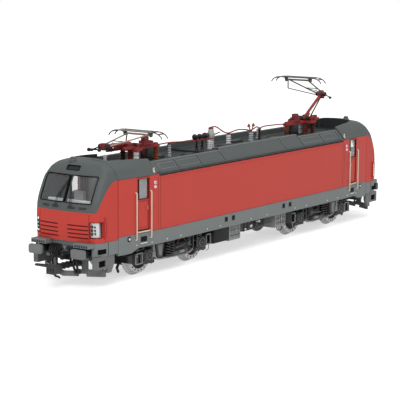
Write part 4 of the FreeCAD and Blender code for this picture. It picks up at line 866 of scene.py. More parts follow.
def cab_lining(end):
    """Dark grey lining of the cab walls, darkened as painted shade, the white desk top and the lines of the
    door in the bulkhead.
    """
    grey, white, lines = Mesh(), Mesh(), Mesh()
    xs = [DOOR_FRONT + 0.2, 86.0, 90.0, GAP_X, GAP_X + 3.0, GAP_X + 5.5, GAP_X + 7.5]

    def inner(x, z, gap):
        y = half_width(x) if x <= GAP_X else mask_side_point(x, z, 0.0).y
        return y - WALL - gap

    rows = [WALL_Z + 1.2 + (EAVES_Z - 1.0 - WALL_Z - 1.2) * k / 8 for k in range(9)]

    def line_wall(side, xs):
        grey.shell(*([[(x, side * inner(x, z, gap), z) for x in xs] for z in rows] for gap in (0.04, 0.16)))

    for side in (-1, 1):
        line_wall(side, xs)
    for side in (-1, 1):
        line_wall(side, (BULKHEAD_X1 + 0.1, DOOR_FRONT - 6.9))
        y = inner(DOOR_FRONT - 3.0, 30.0, 0.04)
        grey.box(DOOR_FRONT - 6.9, DOOR_FRONT + 0.3, *sorted((side * y, side * (y - 0.14))), WALL_Z + 1.2,
                 node_box("door_glass")[0].z - 0.2, 0)
    desk = node_box("cab_interior_rear")[1].x
    white.box(desk - 1.5, desk - 0.4, -9.8, 9.8, SCREEN_Z0 - 1.2, SCREEN_Z0 + 0.7, 0.2)
    face = BULKHEAD_X1
    for y in (-3.4, 3.4):
        lines.box(face - 0.05, face + 0.05, y - 0.14, y + 0.14, WALL_Z + 1.2, EAVES_Z - 1.4, 0)
    for y in (-6.3, 6.3):
        lines.box(face - 0.05, face + 1.2, y - 1.5, y + 1.5, 30.5, 31.0, 0.1)
    end_emit(grey, "cab_lining", end, cab_shade, "cab_grey")
    end_emit(white, "desk_tops", end, white_plastic_and_glints, "cab_grey")
    end_emit(lines, "bulkhead_lines", end, link_moulding, "cab_grey")


DOOR_FRONT = node_box("doors")[1].x
BULKHEAD_X1 = DOOR_FRONT - 6.6 - 3.9 + 1.0
# Painted shade: the side walls of the cab are lined far darker than its pale interior.
cab_shade = finish_of("painted_shade_cab_lining", (0.10, 0.11, 0.115), rough=0.6, mottle=0.03)
smoked_glass = finish_of("smoked_lamp_cover", (0.025, 0.028, 0.030), rough=0.12, mottle=0.4, bump=0.05,
                         shine=0.3)
for end in ENDS:
    cab_lining(end)
    screens(end)
    wipers(end)
    head_lamps(end)
    nose_trim(end)


# ---------------------------------------------------------------- sides, doors and sills
def side_point(x, z, out=0.0):
    """Point on the +Y side of the body."""
    y = half_width(x)
    if abs(x) <= TAPER_X:
        return Vector((x, y + out, z))
    lean = (HALF_W - GAP_Y) / (GAP_X - TAPER_X)
    return Vector((x, y, z)) + Vector((lean * math.copysign(1, x), 1, 0)).normalized() * out


def side_sheet(piece, x0, x1, z0, z1, out, thick, columns=1):
    """Thin plate that follows the side of the body."""
    def sheet(depth):
        return [[side_point(x0 + (x1 - x0) * i / columns, z,
                            depth) for i in range(columns + 1)] for z in (z0, z1)]
    piece.shell(sheet(out), sheet(out - thick))


def side_loop(x0, x1, z0, z1, r, out):
    """Rounded outline on the side of the body."""
    return [side_point(x, z, out) for x, z in rounded(x0, x1, z0, z1, r, 4)]


door_low, door_high = node_box("doors")
pane_low, pane_high = node_box("door_glass")
rail_low, rail_high = node_box("handrails")
DOOR_X1 = door_high.x
DOOR_X0 = DOOR_X1 - 6.5
DOOR_Z = (door_low.z, door_high.z)
PANE_X1 = pane_high.x
PANE_X0 = PANE_X1 - 5.0
PANE_Z = (pane_low.z, pane_high.z)
SILL_Z = WALL_Z - 5.39


def emit_quad(piece, name, material, slot, replaces=()):
    """Mirrors a piece made at +X, +Y to all four corners of the body."""
    piece.mirror(y=-1)
    piece.mirror(x=-1)
    piece.emit(name, "body", material, slot, replaces)


def doors():
    """Seals, joints, handles and thresholds of the doors, and the small lamps beside them."""
    rubber, red, step, hinge, lamp, lens, line = Mesh(), Mesh(), Mesh(), Mesh(), Mesh(), Mesh(), Mesh()
    # window seal and the raised frame of the door
    rubber.sweep(side_loop(PANE_X0 - 0.12, PANE_X1 + 0.12, PANE_Z[0] - 0.12, PANE_Z[1] + 0.12, 0.5, -0.12),
                 [(-0.13, -0.2), (0.13, -0.2), (0.13, 0.2), (-0.13, 0.2)], closed=True)
    # Dark strips along both door edges: the joints, darkened as painted shade.
    for x in (DOOR_X0 - 0.08, DOOR_X1 + 0.08):
        side_sheet(line, x - 0.1, x + 0.1, DOOR_Z[0] - 0.1, EAVES_Z - 0.1, 0.02, 0.3, 1)
    for x in (DOOR_X0 + 0.55, DOOR_X1 - 0.55):
        side_sheet(line, x - 0.05, x + 0.05, DOOR_Z[0] + 1.0, PANE_Z[0] - 1.0, -0.22, 0.1, 1)
    for z in (DOOR_Z[0] + 1.0, PANE_Z[0] - 1.0):
        side_sheet(line, DOOR_X0 + 0.55, DOOR_X1 - 0.55, z - 0.05, z + 0.05, -0.22, 0.1, 1)
    red.sweep([side_point(DOOR_X0 - 0.5, DOOR_Z[1] - 0.35, 0.1),
               side_point(DOOR_X1 + 0.5, DOOR_Z[1] - 0.35, 0.1)],
              [(-0.2, -0.16), (0.2, -0.16), (0.12, 0.12), (-0.12, 0.12)])
    # handle, threshold and the dark gap over it
    hinge.tube([side_point(DOOR_X0 + 1.1, DOOR_Z[0] + 7.6, 0.0),
                side_point(DOOR_X0 + 1.1, DOOR_Z[0] + 7.6, 0.25),
                side_point(DOOR_X0 + 1.1, DOOR_Z[0] + 9.0, 0.25),
                side_point(DOOR_X0 + 1.1, DOOR_Z[0] + 9.0, 0.0)],
               0.28, 8)
    side_sheet(rubber, DOOR_X0 - 0.1, DOOR_X1 + 0.1, DOOR_Z[0] - 0.28, DOOR_Z[0] + 0.12, 0.06, 0.4, 2)
    side_sheet(step, DOOR_X0 - 0.2, DOOR_X1 + 0.2, DOOR_Z[0] - 0.75, DOOR_Z[0] - 0.3, 0.42, 0.55, 2)
    mid = (DOOR_X0 + DOOR_X1) / 2
    side_sheet(lamp, mid - 1.9, mid + 1.6, WALL_Z - 4.1, WALL_Z - 3.8, 0.25, 0.4, 1)
    # little lamps behind the door, one over the other
    x = DOOR_X0 - 3.4
    for z, r in ((36.2, 0.5), (34.6, 0.42)):
        centre = side_point(x, z, 0.0)
        lamp.lathe([(0, -0.2), (r + 0.15, -0.2), (r + 0.15, 0.28), (r + 0.05, 0.4), (r - 0.1, 0.4),
                    (r - 0.14, 0.2),
                    (0, 0.2)], centre, "y", 20)
        lens_piece = lens if r > 0.45 else lamp
        lens_piece.lathe([(0, 0.1), (r - 0.16, 0.1), (r - 0.2, 0.3), (r * 0.4, 0.42), (0, 0.44)], centre, "y",
                         20)
    emit_quad(rubber, "door_seals", seal_and_shade_black, "hose_black")
    emit_quad(line, "door_joints_and_edge_shade", joint_and_shade_line, "red_paint")
    emit_quad(red, "door_gutters", red_paint, "red_paint")
    emit_quad(step, "door_thresholds", cream, "cream_plastic")
    emit_quad(hinge, "door_handles", bare_metal, "bare_metal")
    emit_quad(lamp, "side_lamp_rims", white_plastic_and_glints, "cream_plastic")
    emit_quad(lens, "side_lamp_lenses", seal_and_shade_black, "hose_black")


def handrails():
    """Turned uprights beside the doors, each on two small feet."""
    rails = Mesh()
    d = 0.5
    near = rail_high.x - 0.3
    far = DOOR_X0 - 0.65
    for x in (near, far):
        y_out = rail_high.y - (half_width(far) - half_width(x)) - 0.3
        z0, z1 = rail_low.z, rail_high.z
        path = [(x, y_out - 0.75, z0 + 0.12), (x, y_out - 0.2, z0 + 0.14), (x, y_out, z0 + 0.5),
                (x, y_out, z1 - 0.5),
                (x, y_out - 0.2, z1 - 0.14), (x, y_out - 0.75, z1 - 0.12)]
        rails.tube(path, d, 12)
    emit_quad(rails, "grab_rails", cream, "cream_plastic", replaces=("handrails",))


def side_seams():
    """Joint lines of the body sides, its top edge and the dark slots under the roof panels, darkened as
    painted shade.
    """
    lines, beads, slots = Mesh(), Mesh(), Mesh()
    for x in (TAPER_X - 0.1, TAPER_X - 1.5):
        side_sheet(lines, x - 0.07, x + 0.07, WALL_Z, ROOF_Z - 0.1, 0.02, 0.12, 1)
    emit_quad(lines, "side_joints", joint_and_shade_line, "red_paint")
    for z0, z1 in ((ROOF_Z - 1.0, ROOF_Z - 0.75), (WALL_Z + 0.02, WALL_Z + 0.3)):
        side_sheet(beads, 0, TAPER_X - 1.7, z0, z1, 0.09, 0.2, 1)
    emit_quad(beads, "side_beads", red_paint, "red_paint")
    # Dark dashes in the gaps under the roof panels: painted shade.
    count = 12
    pitch = (TAPER_X - 2.0) / count
    for k in range(count):
        x0 = 0.5 + pitch * k
        side_sheet(slots, x0, x0 + pitch - 1.6, ROOF_Z + 0.02, ROOF_Z + 0.26, -0.3, 0.3, 1)
    emit_quad(slots, "eaves_gap_shade", deck_paint_and_eaves_shade, "hose_black")


def sill_details():
    """Recesses and a lifting socket shown as dark sheets of painted shade, and small fittings along the
    sills, with white dots of painted glint.
    """
    dark, rim, white, bolts = Mesh(), Mesh(), Mesh(), Mesh()
    mid = (DOOR_X0 + DOOR_X1) / 2
    x0, x1 = mid - 1.9, mid + 1.6
    z0, z1 = WALL_Z - 3.4, WALL_Z - 1.4
    # Painted shade: dark sheets and a dark disc stand for the recesses and the lifting socket.
    side_sheet(dark, x0, x1, z0, z1, 0.03, 0.2, 1)
    rim.sweep(side_loop(x0 - 0.1, x1 + 0.1, z0 - 0.1, z1 + 0.1, 0.15, 0.02),
              [(-0.12, -0.1), (0.12, -0.1), (0.08, 0.08), (-0.08, 0.08)], closed=True)
    for x, z, w, h in ((24.1, WALL_Z - 2.15, 2.1, 1.8), (19.0, WALL_Z - 2.15, 2.1, 1.9)):
        side_sheet(dark, x - w / 2, x + w / 2, z - h / 2, z + h / 2, 0.03, 0.2, 1)
        rim.sweep(side_loop(x - w / 2 - 0.1, x + w / 2 + 0.1, z - h / 2 - 0.1, z + h / 2 + 0.1, 0.3, 0.02),
                  [(-0.1, -0.1), (0.1, -0.1), (0.07, 0.07), (-0.07, 0.07)], closed=True)
    centre = side_point(DOOR_X1 + 4.7, WALL_Z - 1.5, 0.0)
    dark.lathe([(0, -0.15), (1.05, -0.15), (1.05, 0.06), (0.8, 0.1), (0, 0.1)], centre, "y", 24)
    white.lathe([(0, 0.0), (0.5, 0.0), (0.5, 0.2), (0.3, 0.26), (0, 0.26)], centre, "y", 20)
    # White dots along the sill: painted glints.
    for x in (82.1, 73.4, 64.1, 55.2, 37.3, 28.2, 6.1):
        white.lathe([(0, -0.1), (0.25, -0.1), (0.25, 0.1), (0.14, 0.18), (0, 0.18)],
                    side_point(x, SILL_Z + 1.1), "y", 14)
    for k in range(15):
        x = 2.5 + 4.6 * k
        bolts.lathe([(0, -0.1), (0.2, -0.1), (0.2, 0.06), (0.12, 0.12), (0, 0.12)],
                    side_point(x, WALL_Z - 0.65), "y", 10)
    emit_quad(dark, "sill_recess_shade", seal_and_shade_black, "hose_black")
    emit_quad(rim, "sill_rims", sill_paint, "sill_paint")
    emit_quad(white, "sill_fittings_and_glints", white_plastic_and_glints, "cream_plastic")
    emit_quad(bolts, "sill_bolts", sill_paint, "sill_paint")


doors()
handrails()
side_seams()
sill_details()

# ---------------------------------------------------------------- bogies and wheels
axle_low, axle_high = node_box("wheelset_3")
far_low, far_high = node_box("wheelset_4")
AXLE_Z = (axle_low.z + axle_high.z) / 2
PIVOT_X = (axle_low.x + axle_high.x + far_low.x + far_high.x) / 4
AXLE_X = (far_low.x - axle_low.x) / 2
FLANGE_R = (axle_high.z - axle_low.z) / 2
TREAD_R = FLANGE_R - 1.0
WHEEL_BACK, WHEEL_FACE = 7.1, 10.0
FRAME_Y1 = WHEEL_FACE + 2.9       # outer face of the side frames
# Painted highlight: light grey for edges, beads, bolts and fins of the dark bogies, where light catches them.
bogie_highlight_grey = finish_of("painted_highlight_bogie_grey", (0.24, 0.245, 0.245), rough=0.45, mottle=0.3, bump=0.3,
                          edge_glint=0.3)
# Painted shade: near-black with almost no shine, for holes, slots, pockets and gaps.
shadow = finish_of("painted_shade_and_joint_black", (0.006, 0.006, 0.006), rough=0.8, mottle=0.1, bump=0.1, shine=0.05)


def wheel(number):
    """Chromed wheels painted near white for their reflection, a ring of small holes in painted shade, a
    dished web, a brake disc and the axle between them.
    """
    low, high = node_box("wheelset_%d" % number)
    x = (low.x + high.x) / 2
    rim, web, dots = Mesh(), Mesh(), Mesh()
    back, face = WHEEL_BACK, WHEEL_FACE
    ring = [(FLANGE_R - 2.6, back), (FLANGE_R - 0.4, back), (FLANGE_R - 0.08, back + 0.12),
            (FLANGE_R, back + 0.35),
            (FLANGE_R - 0.12, back + 0.62), (TREAD_R + 0.16, back + 0.95), (TREAD_R + 0.02, back + 1.25),
            (TREAD_R - 0.05, face - 0.3), (TREAD_R - 0.22, face - 0.05), (TREAD_R - 0.4, face),
            (TREAD_R - 1.45, face), (TREAD_R - 1.6, face - 0.12), (TREAD_R - 1.7, face - 0.5),
            (FLANGE_R - 2.6, back)]
    disc = [(0, back), (TREAD_R - 1.5, back), (TREAD_R - 1.55, face - 0.62), (4.4, face - 0.45),
            (4.2, face - 0.2),
            (3.0, face - 0.2), (2.8, face - 0.45), (2.4, face - 0.3), (2.4, face + 0.1), (2.0, face + 0.15),
            (0, face + 0.15)]
    for side in (-1, 1):
        for piece, profile, sides in ((rim, ring, 72), (web, disc, 40)):
            piece.lathe([(r, side * t) for r, t in profile], (x, 0, AXLE_Z), "y", sides)
        for k in range(20):
            a = 2 * math.pi * (k + 0.5) / 20
            centre = (x + (TREAD_R - 0.92) * math.cos(a), side * face,
                      AXLE_Z + (TREAD_R - 0.92) * math.sin(a))
            dots.lathe([(0, -0.1), (0.3, -0.1), (0.3, 0.03), (0, 0.03)], centre, "y", 10)
    axle = Mesh()
    reach = 12.5
    axle.lathe([(0, -reach), (1.0, -reach), (1.0, reach), (0, reach)], (x, 0, AXLE_Z), "y", 24)
    body = "axle_%d" % number
    rim.emit("wheel_rims_%d" % number, body, chrome_painted_white, "wheel_metal", ("wheelset_%d" % number,))
    web.emit("wheel_webs_%d" % number, body, tyre, "wheel_metal")
    dots.emit("wheel_hole_shade_%d" % number, body, shadow, "wheel_metal")
    axle.emit("axle_bar_%d" % number, body, tyre, "wheel_metal")


def bogie_emit(piece, name, end, material, slot, replaces=()):
    """Pieces are made about the middle of a bogie with +x towards the middle of the locomotive."""
    piece.mirror(y=-1)
    if end == "rear":
        piece.flip(-1)
    piece.shift(PIVOT_X * ENDS[end])
    piece.emit(name + "_" + end, "bogie_" + end, material, slot, replaces)


def coil(piece, x, y, z0, z1, radius, wire, turns):
    """Coil spring between z0 and z1."""
    steps = int(turns * 14)
    path = [(x + radius * math.cos(2 * math.pi * turns * k / steps),
             y + radius * math.sin(2 * math.pi * turns * k / steps),
             z0 + (z1 - z0) * k / steps) for k in range(steps + 1)]
    piece.tube(path, wire, 7)


def panel_frame(piece, x0, x1, y, z0, z1, wide, thick, r=0.08):
    """Raised rectangular border standing on the face at y."""
    for a, b, c, d in ((x0, x1, z1 - wide, z1), (x0, x1, z0, z0 + wide), (x0, x0 + wide, z0, z1),
                       (x1 - wide, x1, z0, z1)):
        piece.box(a, b, y - 0.3, y + thick, c, d, r)


def half_round(x, z, wide, high):
    """Upper half of an ellipse about (x, z)."""
    return [(x + wide * math.cos(math.radians(t)),
             z + high * math.sin(math.radians(t))) for t in range(0, 181, 20)]


def bogie(end):
    """Outside of one bogie: axle boxes, springs, links, dampers, brackets and pipes, with painted highlights
    and painted shade.
    """
    dark, grey, pale, black, wire = Mesh(), Mesh(), Mesh(), Mesh(), Mesh()
    face = FRAME_Y1
    # axle boxes: housing, round cover with rings and bolts, spring pots on both sides
    for x in (-AXLE_X, AXLE_X):
        dark.box(x - 2.3, x + 2.3, face, face + 1.5, AXLE_Z - 2.2, AXLE_Z + 2.2, 0.25)
        dark.box(x - 3.45, x + 3.45, face, face + 1.2, AXLE_Z - 3.3, AXLE_Z - 2.3, 0.2)
        grey.lathe([(0, -0.4), (1.95, -0.4), (1.95, 0.3), (1.75, 0.5), (1.35, 0.5), (1.2, 0.25), (0.85, 0.25),
                    (0.7, 0.6), (0, 0.6)], (x, face + 1.5, AXLE_Z), "y", 32)
        for k in range(6):
            a = math.pi * (k + 0.5) / 3
            pale.lathe([(0, 0), (0.17, 0), (0.14, 0.14), (0, 0.14)],
                       (x + 1.55 * math.cos(a), face + 1.98, AXLE_Z + 1.55 * math.sin(a)), "y", 8)
        for s in (-2.65, 2.65):
            coil(grey, x + s, face + 0.8, AXLE_Z - 2.3, AXLE_Z + 1.0, 0.56, 0.36, 4.5)
            black.lathe([(0, -2.3), (0.4, -2.3), (0.4, 1.0), (0, 1.0)], (x + s, face + 0.8, AXLE_Z), "z", 12)
            dark.lathe([(0, 0.9), (0.85, 0.9), (0.85, 1.3), (0.5, 1.6), (0, 1.6)],
                       (x + s, face + 0.8, AXLE_Z), "z", 18)
    # chest outside the outer axle: dark, with a pale border of painted highlight and a black slot of painted
    # shade
    x0, x1, z0, z1 = -25.4, -20.85, AXLE_Z - 2.7, AXLE_Z + 1.7
    dark.box(x0, x1, face, face + 1.3, z0, z1, 0.2)
    panel_frame(pale, x0 + 0.02, x1 - 0.02, face + 1.3, z0 + 0.02, z1 - 0.02, 0.42, 0.16)
    black.box(x0 + 1.9, x0 + 2.9, face + 1.0, face + 1.36, z0 + 0.5, z1 - 0.5, 0)
    pale.box(x0 + 0.7, x0 + 1.5, face + 1.0, face + 1.4, z1 - 1.5, z1 - 0.8, 0.1)
    # sloping end of the frame over the chest, with painted shade in two pockets
    grey.prism([(-24.6, AXLE_Z + 2.1), (-15.6, AXLE_Z + 3.0), (-15.6, AXLE_Z + 4.4), (-23.4, AXLE_Z + 3.2)],
               "y",
               face, face + 0.9, 0.15)
    for x in (-22.6, -19.2):
        black.box(x, x + 2.3, face + 0.6, face + 0.96, AXLE_Z + 2.75, AXLE_Z + 3.35, 0)
    # guide links: a thin fin, pale as a painted highlight, and the wide leaning arm behind it
    pale.prism([(-14.4, AXLE_Z + 4.3), (-13.7, AXLE_Z + 4.3), (-12.5, AXLE_Z - 1.4), (-15.0, AXLE_Z - 1.1)],
               "y",
               face + 0.3, face + 1.5, 0.2)
    grey.prism([(-12.9, AXLE_Z + 4.0), (-7.9, AXLE_Z + 4.1), (-7.4, AXLE_Z + 2.4), (-8.6, AXLE_Z - 2.0),
                (-11.3, AXLE_Z - 1.6)], "y", face + 0.2, face + 1.6, 0.45)
    panel = [(-11.9, AXLE_Z + 3.2), (-8.7, AXLE_Z + 3.3), (-9.4, AXLE_Z - 1.2), (-10.8, AXLE_Z - 0.9)]
    pale.prism(panel, "y", face + 1.5, face + 1.75, 0.12)
    black.prism([(-7.3, AXLE_Z + 4.2), (-5.9, AXLE_Z + 4.2), (-6.0, AXLE_Z - 1.8), (-7.6, AXLE_Z - 1.8)], "y",
                face + 0.1, face + 0.5, 0)
    # coil springs of the body, in two pairs
    for x, low in ((-4.5, LOW_COIL), (-1.9, LOW_COIL + 0.3), (9.2, LOW_COIL + 2.4)):
        coil(grey, x, face + 0.9, low, AXLE_Z + 3.4, 0.98, 0.42, 5)
        black.lathe([(0, low), (0.78, low), (0.78, AXLE_Z + 3.4), (0, AXLE_Z + 3.4)], (x, face + 0.9, 0), "z",
                    16)
        for z in (low - 0.2, AXLE_Z + 3.5):
            dark.lathe([(0, -0.2), (1.35, -0.2), (1.35, 0.15), (1.1, 0.3), (0, 0.3)], (x, face + 0.9, z), "z",
                       22)
    # half round cover over the damper
    wire.prism(half_round(4.3, AXLE_Z + 1.5, 3.3, 2.3), "y", face, face + 1.3, 0.15)
    black.prism(half_round(4.3, AXLE_Z + 1.9, 2.2, 1.4), "y", face + 1.0, face + 1.36, 0)
    # lying damper in two diameters and the thinner rod over it
    grey.tube([(-1.4, face + 1.2, AXLE_Z - 1.8), (2.4, face + 1.2, AXLE_Z - 1.75)], 1.65, 20)
    pale.tube([(2.2, face + 1.2, AXLE_Z - 1.75), (6.4, face + 1.2, AXLE_Z - 1.6)], 1.25, 18)
    grey.tube([(0.0, face + 1.1, AXLE_Z + 0.3), (8.2, face + 1.1, AXLE_Z + 1.1)], 0.85, 14)
    for x, z in ((-1.6, AXLE_Z - 1.8), (6.5, AXLE_Z - 1.6), (8.3, AXLE_Z + 1.1)):
        dark.lathe([(0, -0.9), (0.85, -0.9), (0.85, 0.9), (0, 0.9)], (x, face + 1.1, z), "y", 18)
    # bead along the lower edge of the frame, pale as a painted highlight
    bead = [(-13.9, 12.0), (-13.5, 9.0), (-12.6, 6.9), (-11.4, 5.95), (-9.6, 5.6), (5.8, 5.0), (10.4, 5.4),
            (12.2, 6.3)]
    pale.sweep([(x, face + 0.9, z) for x, z in bead],
               [(-0.35, -0.22), (0.35, -0.22), (0.25, 0.22), (-0.25, 0.22)])
    # brackets beside the inner axle
    for x in (11.2, 13.9):
        black.box(x - 0.45, x + 0.45, face + 0.6, face + 1.3, AXLE_Z - 1.2, AXLE_Z + 3.4, 0.1)
        grey.box(x + 0.5, x + 1.0, face, face + 1.5, AXLE_Z - 1.4, AXLE_Z + 3.6, 0.12)
    grey.box(10.4, 15.2, face, face + 1.1, AXLE_Z + 0.9, AXLE_Z + 1.6, 0.12)
    grey.box(9.8, 24.4, face - 0.6, face + 0.7, AXLE_Z + 3.7, AXLE_Z + 4.25, 0.12)
    panel_frame(pale, 20.9, 24.3, face + 1.2, AXLE_Z - 1.7, AXLE_Z + 2.7, 0.45, 0.2)
    for x, z in ((21.1, AXLE_Z - 1.4), (24.0, AXLE_Z - 1.4), (21.1, AXLE_Z + 2.4), (24.0, AXLE_Z + 2.4)):
        dark.box(x - 0.2, x + 0.2, face - 0.5, face + 1.2, z - 0.2, z + 0.2, 0.05)
    black.box(21.3, 23.9, face, face + 0.4, AXLE_Z - 1.3, AXLE_Z + 2.3, 0)
    pale.tube([(22.9, face + 1.2, AXLE_Z - 1.6), (22.9, face + 1.1, AXLE_Z - 3.4),
               (22.3, face + 0.4, AXLE_Z - 4.2)],
              0.36, 10)
    # brake pipes and the bent wires beside the wheels
    for y, z in ((face - 1.6, AXLE_Z + 4.3), (face - 0.7, AXLE_Z + 4.0)):
        wire.tube([(-24.0, y, z - 1.2), (-20.5, y, z - 0.1), (-6.0, y, z), (8.0, y, z), (19.0, y, z + 0.1),
                   (24.0, y, z - 0.8)], 0.42, 8)
    for x in (26.0, -8.6):
        wire.tube([(x - 1.6, 9.0, AXLE_Z - 1.8), (x - 1.9, 9.4, 4.2), (x - 0.6, 9.4, 3.3),
                   (x + 1.4, 9.2, 3.5),
                   (x + 1.9, 9.0, 5.0)], 0.42, 8)
    # The pale pieces are painted highlights on the dark frame; the black ones are painted shade in its slots,
    # pockets, springs and under the cover.
    for piece, name, material, slot, gone in (
            (dark, "bogie_boxes", frame_moulding, "dark_plastic", ("axle_boxes_" + end,)),
            (grey, "bogie_arms", link_moulding, "link_grey", ("bogie_links_" + end,)),
            (pale, "bogie_edge_highlights", bogie_highlight_grey, "link_grey", ()),
            (black, "bogie_recess_shade", shadow, "dark_plastic", ()),
            (wire, "bogie_pipes", orange_brown, "dark_plastic", ())):
        bogie_emit(piece, name, end, material, slot, gone)


LOW_COIL = AXLE_Z - 2.0
orange_brown = finish_of("dark_brown_moulding", (0.055, 0.040, 0.034), rough=0.5, mottle=0.2, bump=0.3)
for number in (1, 2, 3, 4):
    wheel(number)
for end in ENDS:
    bogie(end)

# ---------------------------------------------------------------- roof panels, deck and roof gear
PANEL_X = node_box("roof_panels_right")[1].x
FOOT_Y, FOOT_Z = HALF_W - 0.4, ROOF_Z + 0.6
PANEL_TOP, COVER_TOP = ROOF_Z + 5.0, ROOF_Z + 5.9
SLOPE = 1.1
COVER_X = (-23.3, 36.5)
DECK_MID = DECK_Z + 0.8
MAIN_X, HORN_X = -10.2, 19.8      # main insulator and the one with two horns
ROOF_JOINTS = (-67.5, -54.6, -39.3, -23.3, 22.4, 36.5, 53.7, 67.5)
pale_grey = finish_of("pale_roof_edge", (0.20, 0.215, 0.215), rough=0.42, mottle=0.05)
# Some insulators are a greyer white than the white ones.
dull_white = finish_of("greyer_white_insulator", (0.46, 0.50, 0.50), rough=0.35, mottle=0.15, coat=0.2)
rail_red = finish_of("red_conductor", (0.34, 0.055, 0.045), rough=0.4, mottle=0.1)


def slope_point(x, z, out=0.0):
    """Point on the sloping roof panel of the +Y side."""
    normal = Vector((0, SLOPE, 1)).normalized()
    return Vector((x, FOOT_Y - (z - FOOT_Z) / SLOPE, z)) + normal * out


def slope_sheet(piece, x0, x1, z0, z1, out, thick):
    """Thin plate that follows the slope of the roof side."""
    piece.shell([[slope_point(x, z, out) for x in (x0, x1)] for z in (z0, z1)],
                [[slope_point(x, z, out - thick) for x in (x0, x1)] for z in (z0, z1)])


def slope_frame(piece, x0, x1, z0, z1, wide, out):
    """Thin raised border on the slope."""
    for a, b, c, d in ((x0, x1, z1 - wide, z1), (x0, x1, z0, z0 + wide), (x0, x0 + wide, z0, z1),
                       (x1 - wide, x1, z0, z1)):
        slope_sheet(piece, a, b, c, d, out, out + 0.1)


def roof_trim():
    """Frames, joints and ledges of the roof side panels."""
    edge, joint, ledge = Mesh(), Mesh(), Mesh()
    bead = [(-0.22, -0.2), (0.22, -0.2), (0.22, 0.1), (0.1, 0.2), (-0.1, 0.2), (-0.22, 0.1)]
    for x0, x1, top in ((-PANEL_X + 0.1, COVER_X[0], PANEL_TOP), (COVER_X[0], COVER_X[1], COVER_TOP),
                        (COVER_X[1], PANEL_X - 0.1, PANEL_TOP)):
        edge.sweep([slope_point(x0, top - 0.12), slope_point(x1, top - 0.12)], bead)
    ledge.sweep([slope_point(-PANEL_X + 0.1, FOOT_Z + 0.5, 0.12),
                 slope_point(PANEL_X - 0.1, FOOT_Z + 0.5, 0.12)],
                [(-0.42, -0.2), (0.42, -0.2), (0.36, 0.16), (-0.36, 0.16)])
    for x in ROOF_JOINTS:
        top = COVER_TOP if COVER_X[0] <= x <= COVER_X[1] else PANEL_TOP
        slope_sheet(joint, x - 0.13, x + 0.13, FOOT_Z + 0.1, top - 0.1, 0.03, 0.2)
        slope_sheet(edge, x + 0.13, x + 0.4, FOOT_Z + 0.9, top - 0.4, 0.08, 0.2)
    for x0, x1 in ((-66.4, -55.7), (-53.4, -40.4), (37.6, 52.5), (54.8, 66.4)):
        slope_frame(edge, x0, x1, FOOT_Z + 1.4, PANEL_TOP - 0.9, 0.2, 0.06)
    # close ribs where the panels meet the cab roof, and an eyelet on each corner
    for end in (-1, 1):
        for k in range(5):
            x = end * (66.0 - 0.75 * k) if k < 2 else end * (68.9 - 0.5 * (k - 2))
            slope_sheet(edge, x - 0.12, x + 0.12, FOOT_Z + 0.8, PANEL_TOP - 0.3, 0.16, 0.3)
    for piece, name, material in ((edge, "roof_edges", pale_grey), (joint, "roof_joints", shadow),
                                  (ledge, "roof_ledges", grey_paint)):
        piece.mirror(y=-1)
        piece.emit(name, "body", material, "grey_paint")
    eye = Mesh()
    for x in (-71.1, 71.1):
        centre = Vector((x, half_width(x) - 1.3, EAVES_Z + 1.9))
        ring = [centre + Vector((0.42 * math.cos(t), 0.25, 0.5 * math.sin(t)))
                for t in [2 * math.pi * k / 12 for k in range(12)]]
        eye.tube(ring, 0.32, 8, closed=True)
        eye.lathe([(0, -1.2), (0.62, -1.2), (0.55, -0.8), (0.3, -0.35), (0, -0.3)],
                  centre + Vector((0, 0.2, 0)), "z", 14)
    eye.mirror(y=-1)
    eye.emit("roof_eyelets", "body", cream, "cream_plastic")


def deck_planks():
    """Walkways and cable ducts on the deck, and small black fittings along its edges."""
    walk, black = Mesh(), Mesh()
    for y in (-9.6, -7.4, 7.4, 9.6):
        for x0, x1 in ((-66, -25), (38, 66)):
            walk.box(x0, x1, y - 0.85, y + 0.85, DECK_Z - 0.1, DECK_Z + 0.22, 0.08)
    for y in (-8.6, 8.6):
        walk.box(COVER_X[0] + 1, COVER_X[1] - 1, y - 1.6, y + 1.6, DECK_MID - 0.1, DECK_MID + 0.22, 0.08)
    for x, y, w, d, h in ((-46, 2.0, 9, 3.2, 0.9), (-31, -3.4, 6, 2.6, 0.8), (12, 3.2, 8, 3.4, 0.8),
                          (31, -4.0, 6, 3.0, 0.9)):
        base = DECK_MID if COVER_X[0] < x < COVER_X[1] else DECK_Z
        walk.box(x - w / 2, x + w / 2, y - d / 2, y + d / 2, base - 0.1, base + h, 0.2)
    for x0, x1, y0, y1, h in ((-10.8, -2.1, -6.6, -3.4, 1.3), (-5.2, -2.6, -8.8, -6.8, 0.8),
                              (29.5, 32.5, -9.0, -8.0, 0.9), (35.4, 37.4, -9.4, -8.6, 0.7),
                              (44.0, 46.4, -9.6, -8.8, 0.8), (60.5, 62.5, -9.4, -8.8, 0.9)):
        base = DECK_MID if COVER_X[0] < x0 < COVER_X[1] else DECK_Z
        black.box(x0, x1, y0, y1, base - 0.1, base + h, 0.2)
    for x in (33.0, 40.5):
        black.tube([(x, -8.6, DECK_Z + 0.3), (x + 3.2, -8.4, DECK_Z + 1.5), (x + 6.0, -8.4, DECK_Z + 1.3)],
                   0.4, 8)
    walk.emit("deck_walks", "body", deck_edge, "grey_paint")
    black.emit("deck_fittings", "body", black_moulding, "dark_plastic")


def insulator(piece, x, y, z0, z1, d, sheds=5, neck=0.6):
    """Turned insulator: a core with thin sheds."""
    step = (z1 - z0) / (sheds + 0.3)
    profile = [(0, z0), (d * 0.5, z0), (d * 0.5, z0 + step * 0.15)]
    for k in range(sheds):
        a = z0 + step * (k + 0.3)
        profile += [(d * neck / 2, a), (d * 0.46, a + step * 0.16), (d * 0.5, a + step * 0.3),
                    (d * 0.42, a + step * 0.44), (d * neck / 2, a + step * 0.62)]
    profile += [(d * neck / 2, z1), (0, z1)]
    piece.lathe(profile, (x, y, 0), "z", 26)


